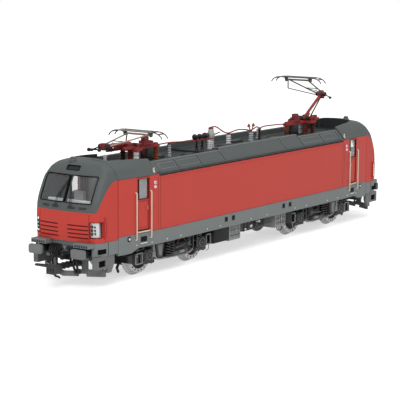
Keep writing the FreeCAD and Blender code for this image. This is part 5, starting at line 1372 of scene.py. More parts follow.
def roof_insulators():
    """Insulators along the middle of the roof, with their red caps."""
    white, dull, dark, red = Mesh(), Mesh(), Mesh(), Mesh()
    white.lathe([(0, DECK_Z), (1.25, DECK_Z), (1.25, DECK_Z + 1.9), (0.75, DECK_Z + 2.3), (0.6, DECK_Z + 3.4),
                 (0.8, DECK_Z + 3.9), (0.75, DECK_Z + 4.5), (0.4, DECK_Z + 4.85), (0, DECK_Z + 4.9)],
                (-80.1, 0, 0), "z", 24)
    insulator(dull, -39.0, 0.0, DECK_Z, DECK_Z + 5.0, 1.5, 5)
    insulator(white, -14.4, -2.2, DECK_MID, DECK_Z + 4.4, 1.9, 4, 0.8)
    # main insulator: white foot, pale tapered top under a red cap
    insulator(white, MAIN_X, 0.0, DECK_MID, DECK_Z + 4.6, 2.9, 4, 0.8)
    z = DECK_Z + 4.6
    dull.lathe([(0, z), (1.15, z), (1.4, z + 0.4), (1.5, z + 1.4), (1.45, z + 2.4), (1.1, z + 3.6),
                (0.95, z + 4.0),
                (0, z + 4.0)], (MAIN_X, 0, 0), "z", 26)
    red.lathe([(0, z - 0.25), (1.45, z - 0.25), (1.45, z + 0.1), (0, z + 0.1)], (MAIN_X, 0, 0), "z", 22)
    red.lathe([(0, z + 4.0), (1.15, z + 4.0), (1.15, z + 4.35), (0, z + 4.4)], (MAIN_X, 0, 0), "z", 22)
    insulator(white, 2.7, 0.0, DECK_MID, DECK_Z + 5.0, 2.3, 4, 0.75)
    insulator(dull, HORN_X, 0.0, DECK_MID, DECK_Z + 4.5, 2.2, 4, 0.75)
    insulator(dark, 26.4, 0.0, DECK_MID, DECK_Z + 5.1, 1.5, 5, 0.7)
    insulator(dull, 28.6, 2.4, DECK_MID, DECK_Z + 5.1, 1.3, 5, 0.7)
    # two small horns on the insulator at the middle, caps of the others
    for side in (-1, 1):
        red.tube([(HORN_X, 0, DECK_Z + 4.4), (HORN_X + side * 0.7, 0, DECK_Z + 5.6),
                  (HORN_X + side * 1.7, 0, DECK_Z + 7.2)],
                 0.5, 8)
        red.lathe([(0, -0.7), (0.75, -0.5), (0.55, 0.3), (0.15, 0.9), (0, 0.95)],
                  (HORN_X + side * 1.75, 0, DECK_Z + 7.4), "z", 14)
    for x, top in ((2.7, 5.0), (HORN_X, 4.5), (26.4, 5.1), (-39.0, 5.0)):
        red.lathe([(0, DECK_Z + top), (0.8, DECK_Z + top), (0.8, DECK_Z + top + 0.4),
                   (0, DECK_Z + top + 0.5)],
                  (x, 0, 0), "z", 16)
    white.emit("insulators_white", "body", ceramic, "insulator_white", ("roof_insulators",))
    dull.emit("insulators_grey", "body", dull_white, "insulator_white")
    dark.emit("insulators_dark", "body", gloss_black, "breaker_black")
    red.emit("insulator_caps", "body", rail_red, "pantograph_red")


def smooth_path(points, count=6):
    """Soft curve through points."""
    line = []
    for i in range(len(points) - 1):
        before = Vector(points[max(0, i - 1)])
        a, b = Vector(points[i]), Vector(points[i + 1])
        after = Vector(points[min(len(points) - 1, i + 2)])
        m, n = (b - before) / 2, (after - a) / 2
        for k in range(count):
            t = k / count
            line.append((2 * t ** 3 - 3 * t * t + 1) * a + (t ** 3 - 2 * t * t + t) * m
                        + (3 * t * t - 2 * t ** 3) * b + (t ** 3 - t * t) * n)
    line.append(Vector(points[-1]))
    return line


def conductors():
    """Thin red bus bar from insulator to insulator."""
    bar = Mesh()
    routes = (((-65.0, 5.0), (-60.5, 5.0), (-52.0, 5.3), (-39.0, 5.6), (-27.0, 4.9), (-13.0, 4.9)),
              ((-14.0, 5.0), (-4.0, 6.6)),
              ((-11.6, 9.0), (MAIN_X, 9.2), (-6.4, 9.0), (-1.2, 6.6), (2.7, 5.7), (8.5, 6.4), (14.0, 6.2),
               (HORN_X, 5.4),
               (24.0, 6.4), (26.4, 5.8), (31.0, 6.2), (40.0, 6.0), (48.2, 5.6)))
    for route in routes:
        bar.tube(smooth_path([(x, 0, DECK_Z + up) for x, up in route]), 0.55, 10)
    bar.emit("bus_bar", "body", rail_red, "pantograph_red", ("roof_conductor",))


def breaker():
    """Circuit breaker: black lying body with collars on two posts, over a red bar."""
    black, red = Mesh(), Mesh()
    z = DECK_Z + 6.2
    profile = [(0, -22.8), (0.8, -22.6), (1.15, -22.1), (1.2, -21.5), (0.9, -21.0), (0.5, -20.7),
               (0.45, -19.6),
               (0.85, -19.2), (1.1, -18.6), (1.0, -17.9), (0.6, -17.5), (0.6, -16.4), (0.85, -16.0),
               (0.9, -15.3),
               (1.15, -15.1), (1.25, -14.5), (1.1, -13.9), (0.95, -13.6), (0.9, -12.6), (0, -12.6)]
    black.lathe(profile, (0, 0, z), "x", 28)
    posts = (-20.4, -16.4)
    for x in posts:
        black.lathe([(0, DECK_MID), (0.75, DECK_MID), (0.7, DECK_MID + 0.5), (0.45, DECK_MID + 0.8),
                     (0.45, z), (0, z)], (x, 0, 0), "z", 16)
    for k in range(5):
        for x in posts:
            black.lathe([(0, 0), (0.72, 0), (0.72, 0.28), (0, 0.28)], (x, 0, DECK_MID + 0.9 + 0.6 * k), "z",
                        16)
    red.box(-23.6, -13.4, -0.45, 0.45, DECK_Z + 4.4, DECK_Z + 5.0, 0.15)
    black.emit("breaker_body", "body", gloss_black, "breaker_black", ("circuit_breaker",))
    red.emit("breaker_bar", "body", rail_red, "pantograph_red")


def well_lining(end):
    """Dark floor and walls of the wells in the cab roofs."""
    plan = [(TAPER_X + 0.02, HALF_W - 5.3), (ROOF_MID_X, HALF_W - 6.7), (GAP_X - 3.0, HALF_W - 8.6),
            (GAP_X - 2.2, HALF_W - 9.6), (GAP_X - 2.2, 0.0)]
    dense = []
    for (xa, ya), (xb, yb) in zip(plan, plan[1:]):
        dense += [(xa + (xb - xa) * k / 6, ya + (yb - ya) * k / 6) for k in range(6)]
    dense.append(plan[-1])
    dark = Mesh()

    def wall(shift):
        rows = []
        for x, y in dense:
            a, b = x - shift * 0.5, max(0.0, y - shift)
            profile = roof_profile(min(x + 0.1, GAP_X))
            crest = max(z for v, z in profile if v >= y - 0.05) if y > 0.1 else profile[-1][1]
            rows.append([(a, b, DECK_Z + 0.02), (a, b, crest - 0.12)])
        return rows

    dark.shell(wall(0.03), wall(0.09))
    outline = [(TAPER_X, 0.0)] + [(x - 0.03, max(0.0, y - 0.03)) for x, y in plan]
    dark.prism(outline, "z", DECK_Z - 0.02, DECK_Z + 0.05, r=0)
    dark.mirror(y=-1)
    end_emit(dark, "roof_well_lining", end, deck_paint_and_eaves_shade, "grey_paint")


deck_edge = finish_of("roof_walk_paint", (0.060, 0.063, 0.065), rough=0.5, mottle=0.15, bump=0.25)
for end in ENDS:
    well_lining(end)
roof_trim()
deck_planks()
roof_insulators()
conductors()
breaker()

# ---------------------------------------------------------------- pantographs
PAN_X = GAP_X - 28.4              # pivot of the lower arm
PAN_Z = DECK_Z + 7.0
PAN_LOWER, PAN_UPPER, PAN_TAIL = 16.8, 21.2, 5.3
LOWER_ANGLE = {"rear": 35.8, "front": 3.0}
UPPER_ANGLE = {"rear": 159.0, "front": 172.0}
UPPER_RAISED = 159.0
ROD_FOOT = (PAN_X + 8.7, DECK_Z + 5.8)
ROD_Y = 3.1
BASE_Z = DECK_Z + 4.8
HEAD_Y = 5.0
STRIP_GAP, STRIP_W = 3.8, 0.9
BOW_Y = 12.8
head_metal = finish_of("worn_head_metal", (0.13, 0.135, 0.12), rough=0.4, metal=0.55, mottle=0.25, grain=2000,
                       bump=0.2)
arm_metal = finish_of("arm_tube_metal", (0.20, 0.20, 0.18), rough=0.34, metal=0.6, mottle=0.15, grain=2000,
                      bump=0.15)
bright_red = finish_of("pantograph_red_paint", (0.34, 0.018, 0.015), rough=0.38, mottle=0.08, bump=0.12,
                       edge_glint=0.12)
brown_foot = finish_of("brown_insulator", (0.085, 0.018, 0.018), rough=0.35, mottle=0.1, coat=0.2)
green_grey = finish_of("grey_green_block", (0.045, 0.060, 0.058), rough=0.5, mottle=0.15)


def along(origin, length, degrees):
    """Point at a length and an angle from the origin, in the plane of the arms."""
    angle = math.radians(degrees)
    return (origin[0] + length * math.cos(angle), origin[1] + length * math.sin(angle))


def pan_points(end):
    """Knee, head and tail of one pantograph, as (x, z)."""
    knee = along((PAN_X, PAN_Z), PAN_LOWER, LOWER_ANGLE[end])
    head = along(knee, PAN_UPPER, UPPER_ANGLE[end])
    tail = along(knee, -PAN_TAIL, UPPER_ANGLE[end])
    return knee, head, tail


def bar(piece, p, y0, y1, d, sides=16):
    """Cross bar about p, from y0 to y1."""
    piece.lathe([(0, y0), (d / 2 - 0.05, y0), (d / 2, y0 + 0.05), (d / 2, y1 - 0.05), (d / 2 - 0.05, y1),
                 (0, y1)],
                (p[0], 0, p[1]), "y", sides)


def turned_block(piece, p, length, height, y0, y1, angle, r=0.2):
    """Block about p, turned in the plane of the arms."""
    turn = Matrix.Rotation(-math.radians(angle), 3, "Y")
    part = Mesh()
    part.box(-length / 2, length / 2, y0, y1, -height / 2, height / 2, r)
    bmesh.ops.transform(part.bm, matrix=turn.to_4x4(), verts=part.bm.verts)
    bmesh.ops.translate(part.bm, vec=(p[0], 0, p[1]), verts=part.bm.verts)
    piece.take(part.bm)


def pan_base(end):
    """Fixed frame of a pantograph with its insulated feet."""
    red, deep, green, steel, white, brown, orange, black = (Mesh() for _ in range(8))
    x0, x1 = PAN_X + 1.2 - 16.8, PAN_X + 1.2
    pale_side = 1 if end == "rear" else -1
    # feet
    for z0, z1, piece in ((DECK_Z, BASE_Z - 1.9, brown if end == "rear" else orange),
                          (BASE_Z - 1.9, BASE_Z, orange)):
        insulator(piece, x0, 0.0, z0, z1, 2.5, 2 if piece is brown else 3, 0.75)
    insulator(white, x1, 3.2 * pale_side, DECK_Z, BASE_Z, 2.5, 3, 0.82)
    insulator(brown, x1, -3.2 * pale_side, DECK_Z, BASE_Z, 2.6, 4, 0.7)
    # frame
    red.box(x0 - 1.3, x1 + 1.3, -1.1, 1.1, BASE_Z, BASE_Z + 1.2, 0.2)
    red.box(x1 - 2.6, x1 + 1.3, -4.5, 4.5, BASE_Z, BASE_Z + 1.2, 0.2)
    for x, y in ((x0, 0), (x1, 3.2), (x1, -3.2)):
        deep.lathe([(0, 0), (1.0, 0), (1.0, 0.35), (0.7, 0.6), (0, 0.6)], (x, y, BASE_Z + 1.2), "z", 16)
    # drive: high block, low block, grey block under the frame
    bx = PAN_X
    deep.box(bx - 10.7, bx - 6.3, -1.35, 1.35, BASE_Z + 0.9, DECK_Z + 8.0, 0.25)
    deep.box(bx - 9.9, bx - 7.2, -1.0, 1.0, DECK_Z + 7.2, DECK_Z + 9.6, 0.25)
    red.box(bx - 13.0, bx - 10.6, -1.2, 1.2, BASE_Z + 0.9, DECK_Z + 7.0, 0.2)
    black.box(bx - 12.8, bx - 11.0, -1.0, 1.0, DECK_Z + 6.9, DECK_Z + 7.6, 0.15)
    for z in (DECK_Z + 6.6, DECK_Z + 7.7):
        red.box(bx - 10.8, bx - 6.2, -1.45, 1.45, z, z + 0.3, 0.1)
    green.box(bx - 12.0, bx - 8.4, -1.8, 1.8, DECK_Z + 1.5, BASE_Z, 0.3)
    black.box(bx - 11.6, bx - 8.8, -1.3, 1.3, DECK_Z, DECK_Z + 1.7, 0.1)
    brown.box(bx - 8.2, bx - 6.6, -0.8, 0.8, DECK_Z, BASE_Z, 0.2)
    # pillar under the pivot and the spring boxes beside the arm
    deep.lathe([(0, DECK_Z), (1.5, DECK_Z), (1.5, DECK_Z + 0.5), (1.2, DECK_Z + 0.8), (1.2, BASE_Z),
                (0, BASE_Z)],
               (bx + 0.2, 0, 0), "z", 24)
    for side in (-1, 1):
        y0, y1 = sorted((side * 1.3, side * 3.0))
        red.box(bx + 1.4, bx + 7.6, y0, y1, BASE_Z + 0.9, DECK_Z + 7.0, 0.3)
        deep.box(bx + 2.2, bx + 5.8, y0 + 0.1, y1 - 0.1, DECK_Z + 6.8, DECK_Z + 8.2, 0.3)
        steel.tube([(bx + 1.0, side * 2.15, DECK_Z + 6.4), (bx + 7.9, side * 2.15, DECK_Z + 6.4)], 0.5, 10)
        # bearing cheeks
        c0, c1 = sorted((side * 3.5, side * 4.4))
        red.prism([(bx - 1.1, BASE_Z + 0.8), (bx + 1.1, BASE_Z + 0.8), (bx + 1.0, PAN_Z + 0.6),
                   (bx + 0.6, PAN_Z + 1.0),
                   (bx - 0.6, PAN_Z + 1.0), (bx - 1.0, PAN_Z + 0.6)], "y", c0, c1, 0.12)
    bar(steel, (bx, PAN_Z), -4.2, 4.2, 0.98)
    # cap on the side away from the guiding rod
    black.lathe([(0, 0), (0.62, 0), (0.62, -0.22), (0.4, -0.34), (0, -0.34)], (bx, -4.4, PAN_Z), "y", 14)
    # bearing of the guide rod
    rx, rz = ROD_FOOT
    red.box(x1, rx + 1.0, 3.8, 5.0, BASE_Z, BASE_Z + 0.9, 0.15)
    red.prism([(rx - 1.0, BASE_Z), (rx + 1.0, BASE_Z), (rx + 0.9, rz + 0.6), (rx + 0.5, rz + 1.0),
               (rx - 0.5, rz + 1.0),
               (rx - 0.9, rz + 0.6)], "y", 4.1, 5.0, 0.12)
    bar(steel, (rx, rz), ROD_Y - 0.3, 4.6, 0.78)
    # narrow white post and dark cable beside the drive
    white.tube([(bx - 2.6, 2.6, DECK_Z), (bx - 2.6, 2.6, BASE_Z - 0.2)], 0.7, 12)
    black.tube(smooth_path([(bx - 6.0, -1.9, DECK_Z + 0.4), (bx - 4.6, -2.3, DECK_Z + 2.6),
                            (bx - 4.0, -1.9, BASE_Z - 0.1)]), 0.6, 8)
    end_emit(red, "pan_frame", end, bright_red, "pantograph_red", "body", ("pantograph_base_" + end,))
    end_emit(deep, "pan_drive", end, pan_red, "pantograph_red")
    end_emit(green, "pan_valve_box", end, green_grey, "dark_plastic")
    end_emit(steel, "pan_pins", end, arm_metal, "bare_metal")
    end_emit(white, "pan_white_feet", end, ceramic, "insulator_white")
    end_emit(brown, "pan_brown_feet", end, brown_foot, "pantograph_red")
    end_emit(orange, "pan_orange_foot", end, orange_red, "pantograph_red")
    end_emit(black, "pan_dark_parts", end, black_moulding, "dark_plastic")


def pan_lower(end):
    """Red lower arm with its thicker foot, and the box at the knee."""
    knee = pan_points(end)[0]
    angle = LOWER_ANGLE[end]
    red, deep, dark = Mesh(), Mesh(), Mesh()
    start = along((PAN_X, PAN_Z), 0.9, angle)
    sleeve = along((PAN_X, PAN_Z), PAN_LOWER * 0.2, angle)
    stop = along(knee, -1.0, angle)
    lift = along(start, 0.7, angle + 90)
    red.tube([(start[0], 0, start[1]), (lift[0], 0, lift[1]), (stop[0], 0, stop[1])], 1.3, 20)
    red.tube([(start[0], 0, start[1]), (sleeve[0], 0, sleeve[1])], 1.8, 20)
    deep.lathe([(0.6, -3.2), (0.85, -3.2), (0.9, -3.1), (0.9, 3.1), (0.85, 3.2), (0.6, 3.2)],
               (PAN_X, 0, PAN_Z), "y", 24)
    for y in (-1.9, 1.9):
        dark.lathe([(0.6, y - 1.1), (0.93, y - 1.1), (0.95, y - 1.0), (0.95, y + 1.0), (0.93, y + 1.1),
                    (0.6, y + 1.1)],
                   (PAN_X, 0, PAN_Z), "y", 24)
    turned_block(deep, knee, 2.7, 2.7, -1.15, 1.15, angle, 0.35)
    for side in (-1, 1):
        y = side * 1.18
        dark.lathe([(0, y - 0.12), (0.85, y - 0.12), (0.85, y + 0.12), (0, y + 0.12)], (knee[0], 0, knee[1]),
                   "y", 16)
    bar(dark, knee, -2.5, 2.5, 0.98)
    end_emit(red, "pan_lower_tube", end, bright_red, "pantograph_red", "pan_lower_" + end,
             ("lower_arm_" + end,))
    end_emit(deep, "pan_knee_box", end, pan_red, "pantograph_red", "pan_lower_" + end)
    end_emit(dark, "pan_knee_pin", end, black_moulding, "dark_plastic", "pan_lower_" + end)


def pan_upper(end):
    """Two thin tubes that spread to the head, braced crosswise, with the levers at the knee."""
    knee, head, tail = pan_points(end)
    angle = UPPER_ANGLE[end]
    tube, thin, dark = Mesh(), Mesh(), Mesh()
    eye_y = 1.875
    low, high = 0.12, 0.42      # shares of the arm between which the cross brace runs

    def spread(share):
        return eye_y + (HEAD_Y - eye_y) * share

    def at(share, y):
        p = along(knee, PAN_UPPER * share, angle)
        return (p[0], y, p[1])

    for side in (-1, 1):
        tube.tube([at(0.045, side * eye_y), at(1.0, side * HEAD_Y)], 0.6, 14)
        y0, y1 = sorted((side * 1.4, side * 2.35))
        dark.lathe([(0.6, y0), (0.95, y0), (1.0, y0 + 0.05), (1.0, y1 - 0.05), (0.95, y1), (0.6, y1)],
                   (knee[0], 0, knee[1]), "y", 22)
        back = along(knee, -1.0, angle)
        dark.tube([(back[0], side * eye_y, back[1]), (tail[0], side * eye_y, tail[1])], 0.5, 10)
        dark.lathe([(0, y0), (0.5, y0), (0.55, y0 + 0.05), (0.55, y1 - 0.05), (0.5, y1), (0, y1)],
                   (tail[0], 0, tail[1]), "y", 18)
        thin.tube([at(low, side * spread(low)), at(high, -side * spread(high))], 0.26, 8)
    thin.tube([at(high, -spread(high)), at(high, spread(high))], 0.36, 8)
    bar(tube, head, -5.5, 5.5, 0.8)
    # guiding rod of the head with its bracket
    turn = angle - UPPER_RAISED
    drop = along(head, 3.9, 270 + turn)
    foot = along(along(knee, 1.4, angle), 0.7, 270 + turn)
    thin.tube([(drop[0], 5.3, drop[1]), (foot[0], 2.75, foot[1])], 0.42, 8)
    thin.tube([(drop[0], 5.3, drop[1]), (head[0], 5.3, head[1])], 0.55, 8)
    thin.tube([(foot[0], 2.75, foot[1]), (foot[0], 2.2, foot[1])], 0.5, 8)
    end_emit(tube, "pan_upper_tubes", end, ARM_METAL_AND_PAINTED_REFLECTION[end], "bare_metal", "pan_upper_" + end,
             ("upper_arm_" + end,))
    end_emit(thin, "pan_upper_braces", end, head_metal, "bare_metal", "pan_upper_" + end)
    end_emit(dark, "pan_upper_levers", end, black_moulding, "rod_dark", "pan_upper_" + end)


def pan_head(end):
    """Two contact strips, rocking frame, hangers and down-turned horns."""
    hx, hz = pan_points(end)[1]
    top = hz + 1.5
    mid = top - 0.35
    strip_piece, frame_piece = Mesh(), Mesh()
    for x in (hx - STRIP_GAP / 2, hx + STRIP_GAP / 2):
        strip_piece.box(x - STRIP_W * 0.4, x + STRIP_W * 0.4, -BOW_Y * 0.62, BOW_Y * 0.62, top - 0.3, top,
                        0.1)
        frame_piece.box(x - STRIP_W * 0.3, x + STRIP_W * 0.3, -BOW_Y * 0.64, BOW_Y * 0.64, top - 0.55,
                        top - 0.25, 0.08)
        for side in (-1, 1):
            horn = smooth_path([(x, side * BOW_Y * 0.58, mid), (x, side * BOW_Y * 0.72, mid),
                                (x, side * BOW_Y * 0.86, mid - 0.5), (x, side * BOW_Y * 0.96, mid - 1.4),
                                (x, side * BOW_Y, mid - 2.2)])
            frame_piece.tube(horn, 0.46, 10)
    for side in (-1, 1):
        for y, z in ((BOW_Y * 0.36, mid), (BOW_Y * 0.6, mid), (BOW_Y * 0.86, mid - 0.5)):
            frame_piece.tube([(hx - STRIP_GAP / 2, side * y, z), (hx + STRIP_GAP / 2, side * y, z)], 0.5, 8)
        y0, y1 = sorted((side * 5.85, side * 6.55))
        frame_piece.lathe([(0, y0), (0.85, y0), (0.9, y0 + 0.06), (0.9, y1 - 0.06), (0.85, y1), (0, y1)],
                          (hx, 0, hz), "y", 20)
        frame_piece.box(hx - 0.45, hx + 0.45, y0, y1, hz, mid, 0.1)
        frame_piece.box(hx - STRIP_GAP / 2, hx + STRIP_GAP / 2, y0, y1, top - 0.7, mid, 0.1)
        frame_piece.tube([(hx - STRIP_GAP / 2, side * 6.2, mid - 0.2), (hx, side * 6.2, hz - 0.1),
                          (hx + STRIP_GAP / 2, side * 6.2, mid - 0.2)], 0.35, 8)
    end_emit(frame_piece, "pan_bow", end, head_metal, "bare_metal", "pan_head_" + end,
             ("contact_head_" + end,))
    end_emit(strip_piece, "pan_strips", end, STRIP_METAL_AND_PAINTED_REFLECTION[end], "bare_metal", "pan_head_" + end)


def pan_rod(end):
    """Dark guide rod behind the lower arm."""
    tail = pan_points(end)[2]
    dark = Mesh()
    dark.tube([(ROD_FOOT[0], ROD_Y, ROD_FOOT[1]), (tail[0], ROD_Y, tail[1])], 0.6, 12)
    bar(dark, ROD_FOOT, ROD_Y - 0.4, ROD_Y + 0.4, 1.8)
    bar(dark, tail, ROD_Y - 0.4, ROD_Y + 0.4, 1.4)
    end_emit(dark, "pan_guide_rod", end, dark_rod, "rod_dark", "pan_rod_" + end, ("guide_rod_" + end,))


# The front pantograph's tubes and contact strips are lighter than the rear's: a painted reflection of the sky
# on the lying front arm.
ARM_METAL_AND_PAINTED_REFLECTION = {"rear": arm_metal,
             "front": finish_of("arm_tube_painted_sky_reflection", (0.50, 0.40, 0.35), rough=0.3, metal=0.4, mottle=0.1,
                                grain=2000)}
STRIP_METAL_AND_PAINTED_REFLECTION = {"rear": finish_of("grey_contact_strip", (0.20, 0.20, 0.185), rough=0.45, metal=0.4,
                                 mottle=0.15),
               "front": finish_of("contact_strip_painted_reflection", (0.48, 0.46, 0.42), rough=0.45, metal=0.2,
                                  mottle=0.15)}
for end in ENDS:
    pan_base(end)
    pan_lower(end)
    pan_upper(end)
    pan_head(end)
    pan_rod(end)

# ---------------------------------------------------------------- ends: buffers, hoses, coupler, steps
step_low, step_high = node_box("corner_steps_rear")
END_X = node_box("buffers_rear")[1].x
BEAM_X1 = END_X - 6.7
CORNER_Z = SILL_Z - 0.55
BEAM_Y = GAP_Y - 3.34
BUFFER_Y = BEAM_Y - 2.34
BUFFER_Z = MASK_Z - 3.7
COUPLER_X = BEAM_X1 - 6.9
COUPLER_Z = 7.0
HEAD_X0 = COUPLER_X + 13.1
SKIRT_JOINT_X = 97.6
buffer_grey = finish_of("grey_buffer_moulding", (0.19, 0.195, 0.202), rough=0.42, mottle=0.15, bump=0.25,
                        edge_glint=0.25)
loop_brown = finish_of("brown_black_moulding", (0.030, 0.022, 0.018), rough=0.4, mottle=0.3, bump=0.2,
                       edge_glint=0.1)


def buffers(end):
    """Rectangular buffers on round sleeves, with the bolted plates and blocks around them."""
    grey, dark, black = Mesh(), Mesh(), Mesh()
    y0, y1 = BUFFER_Y - 3.2, BUFFER_Y + 3.2
    z0, z1 = BUFFER_Z - 1.75, BUFFER_Z + 1.75
    for side in (-1, 1):
        a, b = sorted((side * y0, side * y1))
        outline = rounded(a, b, z0, z1, 0.8, 4)
        grey.prism(outline, "x", END_X - 1.3, END_X - 0.1, 0.2)
        ring = rounded(a + 0.35, b - 0.35, z0 + 0.3, z1 - 0.3, 0.6, 4)
        grey.prism(ring, "x", END_X - 0.3, END_X, 0.08)
        for k in range(6):
            y = a + 0.9 + 0.92 * k
            dark.box(END_X - 1.75, END_X - 1.25, y - 0.12, y + 0.12, z0 + 0.5, z1 - 0.5, 0.05)
        centre = (0, side * BUFFER_Y, BUFFER_Z)
        black.lathe([(0, BEAM_X1 + 2.6), (1.2, BEAM_X1 + 2.6), (1.2, END_X - 1.2), (0, END_X - 1.2)], centre,
                    "x", 24)
        dark.lathe([(0, BEAM_X1), (1.75, BEAM_X1), (1.75, BEAM_X1 + 0.3), (1.6, BEAM_X1 + 0.4),
                    (1.6, BEAM_X1 + 2.4),
                    (1.75, BEAM_X1 + 2.5), (1.75, BEAM_X1 + 2.8), (0, BEAM_X1 + 2.8)], centre, "x", 28)
        for dy, dz in ((-2.2, -1.4), (2.2, -1.4), (-2.2, 1.4), (2.2, 1.4)):
            grey.lathe([(0, BEAM_X1 - 0.1), (0.35, BEAM_X1 - 0.1), (0.35, BEAM_X1 + 0.3),
                        (0.2, BEAM_X1 + 0.4),
                        (0, BEAM_X1 + 0.4)], (0, side * BUFFER_Y + dy, BUFFER_Z + dz), "x", 6)
        # toothed pads over the buffers
        c = min(side * (BUFFER_Y - 3.5), side * (BUFFER_Y + 3.5))
        top = MASK_Z - 0.12
        for k in range(6):
            dark.box(BEAM_X1 + 4.55, BEAM_X1 + 4.75, c + 0.6 + 1.05 * k, c + 1.1 + 1.05 * k, top - 1.2,
                     top - 0.5, 0.05)
    end_emit(grey, "buffer_heads", end, buffer_grey, "buffer_metal", "body", ("buffers_" + end,))
    end_emit(dark, "buffer_sleeves", end, black_moulding, "dark_plastic")
    end_emit(black, "buffer_shanks", end, gloss_black, "dark_plastic")


def beam_details(end):
    """Plates, sockets and cables of the front beam, and painted shade in its pockets."""
    dark, grey, pocket, seam = Mesh(), Mesh(), Mesh(), Mesh()
    # hanging cables and sockets between the buffers
    for y in (-2.6, -0.8, 2.4):
        dark.lathe([(0, BEAM_X1 - 0.2), (0.9, BEAM_X1 - 0.2), (0.9, BEAM_X1 + 0.5), (0.6, BEAM_X1 + 0.8),
                    (0, BEAM_X1 + 0.8)], (0, y, MASK_Z - 3.2), "x", 18)
    grey.box(BEAM_X1 - 0.1, BEAM_X1 + 0.5, 0.4, 1.9, MASK_Z - 3.6, MASK_Z - 2.3, 0.12)
    dark.tube(smooth_path([(BEAM_X1 + 0.3, -3.4, MASK_Z - 3.0), (BEAM_X1 + 1.4, -2.6, MASK_Z - 4.4),
                           (BEAM_X1 + 1.6, -0.4, MASK_Z - 5.2), (BEAM_X1 + 1.3, 2.2, MASK_Z - 4.6),
                           (BEAM_X1 + 0.3, 3.6, MASK_Z - 3.1)]), 0.7, 10)
    dark.box(BEAM_X1 - 0.3, BEAM_X1 + 0.5, -2.0, 2.0, MASK_Z - 7.6, MASK_Z - 4.4, 0.25)
    dark.prism([(BEAM_X1 + 0.3, MASK_Z - 5.2), (BEAM_X1 + 3.6, MASK_Z - 5.8), (BEAM_X1 + 3.9, MASK_Z - 6.8),
                (BEAM_X1 + 3.2, MASK_Z - 7.2), (BEAM_X1 + 0.3, MASK_Z - 6.9)], "y", -0.5, 0.5, 0.15)
    # cushion blocks behind each buffer, dark plates and cable loops beside them
    for side in (-1, 1):
        c, d = sorted((side * 2.9, side * 7.2))
        dark.box(BEAM_X1 - 0.2, BEAM_X1 + 0.3, c, d, MASK_Z - 7.4, MASK_Z - 2.0, 0.15)
        for k, y in enumerate((3.4, 4.4, 5.6, 6.6)):
            low_z = MASK_Z - 6.2 - 0.5 * (k % 2)
            dark.tube(smooth_path([(BEAM_X1 + 0.2, side * y, MASK_Z - 2.6),
                                   (BEAM_X1 + 1.5 + 0.3 * k, side * y, MASK_Z - 3.8),
                                   (BEAM_X1 + 1.2, side * (y + 0.3), low_z)], 5), 0.62, 8)
        a, b = sorted((side * (BUFFER_Y - 3.0), side * (BUFFER_Y + 3.0)))
        dark.box(BEAM_X1 - 0.2, BEAM_X1 + 0.35, a, b, BUFFER_Z - 2.2, BUFFER_Z + 2.1, 0.15)
        # painted shade in the upper corner pockets
        p0, p1 = sorted((side * (GAP_Y - 0.45), side * (GAP_Y - 1.4)))
        pocket.box(step_low.x + 3.0, step_high.x - 1.6, p0, p1, CORNER_Z + 0.95, CORNER_Z + 2.55, 0)
        grey.box(step_low.x + 2.6, step_high.x - 1.4, side * (GAP_Y - 1.3), side * (GAP_Y - 0.35),
                 CORNER_Z + 0.72, CORNER_Z + 0.92, 0.05)
        # painted shade in the recesses of the step treads
        t0, t1 = sorted((side * (step_high.y - 0.55), side * (step_high.y - 1.45)))
        pocket.box(step_low.x + 5.0, step_high.x - 1.3, t0, t1, step_low.z + 2.75, step_low.z + 4.9, 0)
        x, y = SKIRT_JOINT_X, mask_side_point(SKIRT_JOINT_X, MASK_Z).y
        seam.box(x - 0.1, x + 0.1, side * (y - 0.3), side * (y + 0.04), CORNER_Z + 0.05, MASK_Z - 0.15, 0)
    end_emit(dark, "beam_sockets", end, black_moulding, "dark_plastic")
    end_emit(grey, "beam_plates", end, buffer_grey, "buffer_metal")
    end_emit(pocket, "step_recess_shade", end, shadow, "dark_plastic")
    end_emit(seam, "skirt_joints", end, shadow, "dark_plastic")


def hoses(end):
    """Black brake hoses with their taps and couplings."""
    black, grey = Mesh(), Mesh()
    for y in (-6.4, -4.8, 5.2):
        route = [(BEAM_X1 - 0.1, y, MASK_Z - 5.6), (BEAM_X1 + 1.6, y, MASK_Z - 5.8),
                 (BEAM_X1 + 2.5, y, MASK_Z - 7.4),
                 (BEAM_X1 + 2.1, y, MASK_Z - 9.8), (BEAM_X1 + 1.2, y, MASK_Z - 11.2)]
        black.tube(smooth_path(route), 0.9, 14)
        black.lathe([(0, -0.7), (0.7, -0.7), (0.75, -0.2), (0.6, 0.4), (0, 0.5)],
                    (BEAM_X1 + 1.2, y, MASK_Z - 11.2),
                    "z", 16)
        grey.box(BEAM_X1 - 0.1, BEAM_X1 + 0.9, y - 0.65, y + 0.65, MASK_Z - 6.3, MASK_Z - 5.0, 0.2)
        grey.tube([(BEAM_X1 + 0.5, y, MASK_Z - 5.0), (BEAM_X1 + 0.9, y + 0.8, MASK_Z - 4.2)], 0.35, 8)
    end_emit(black, "brake_hoses", end, gloss_black, "hose_black", "body", ("hoses_" + end,))
    end_emit(grey, "hose_taps", end, link_moulding, "hose_black")


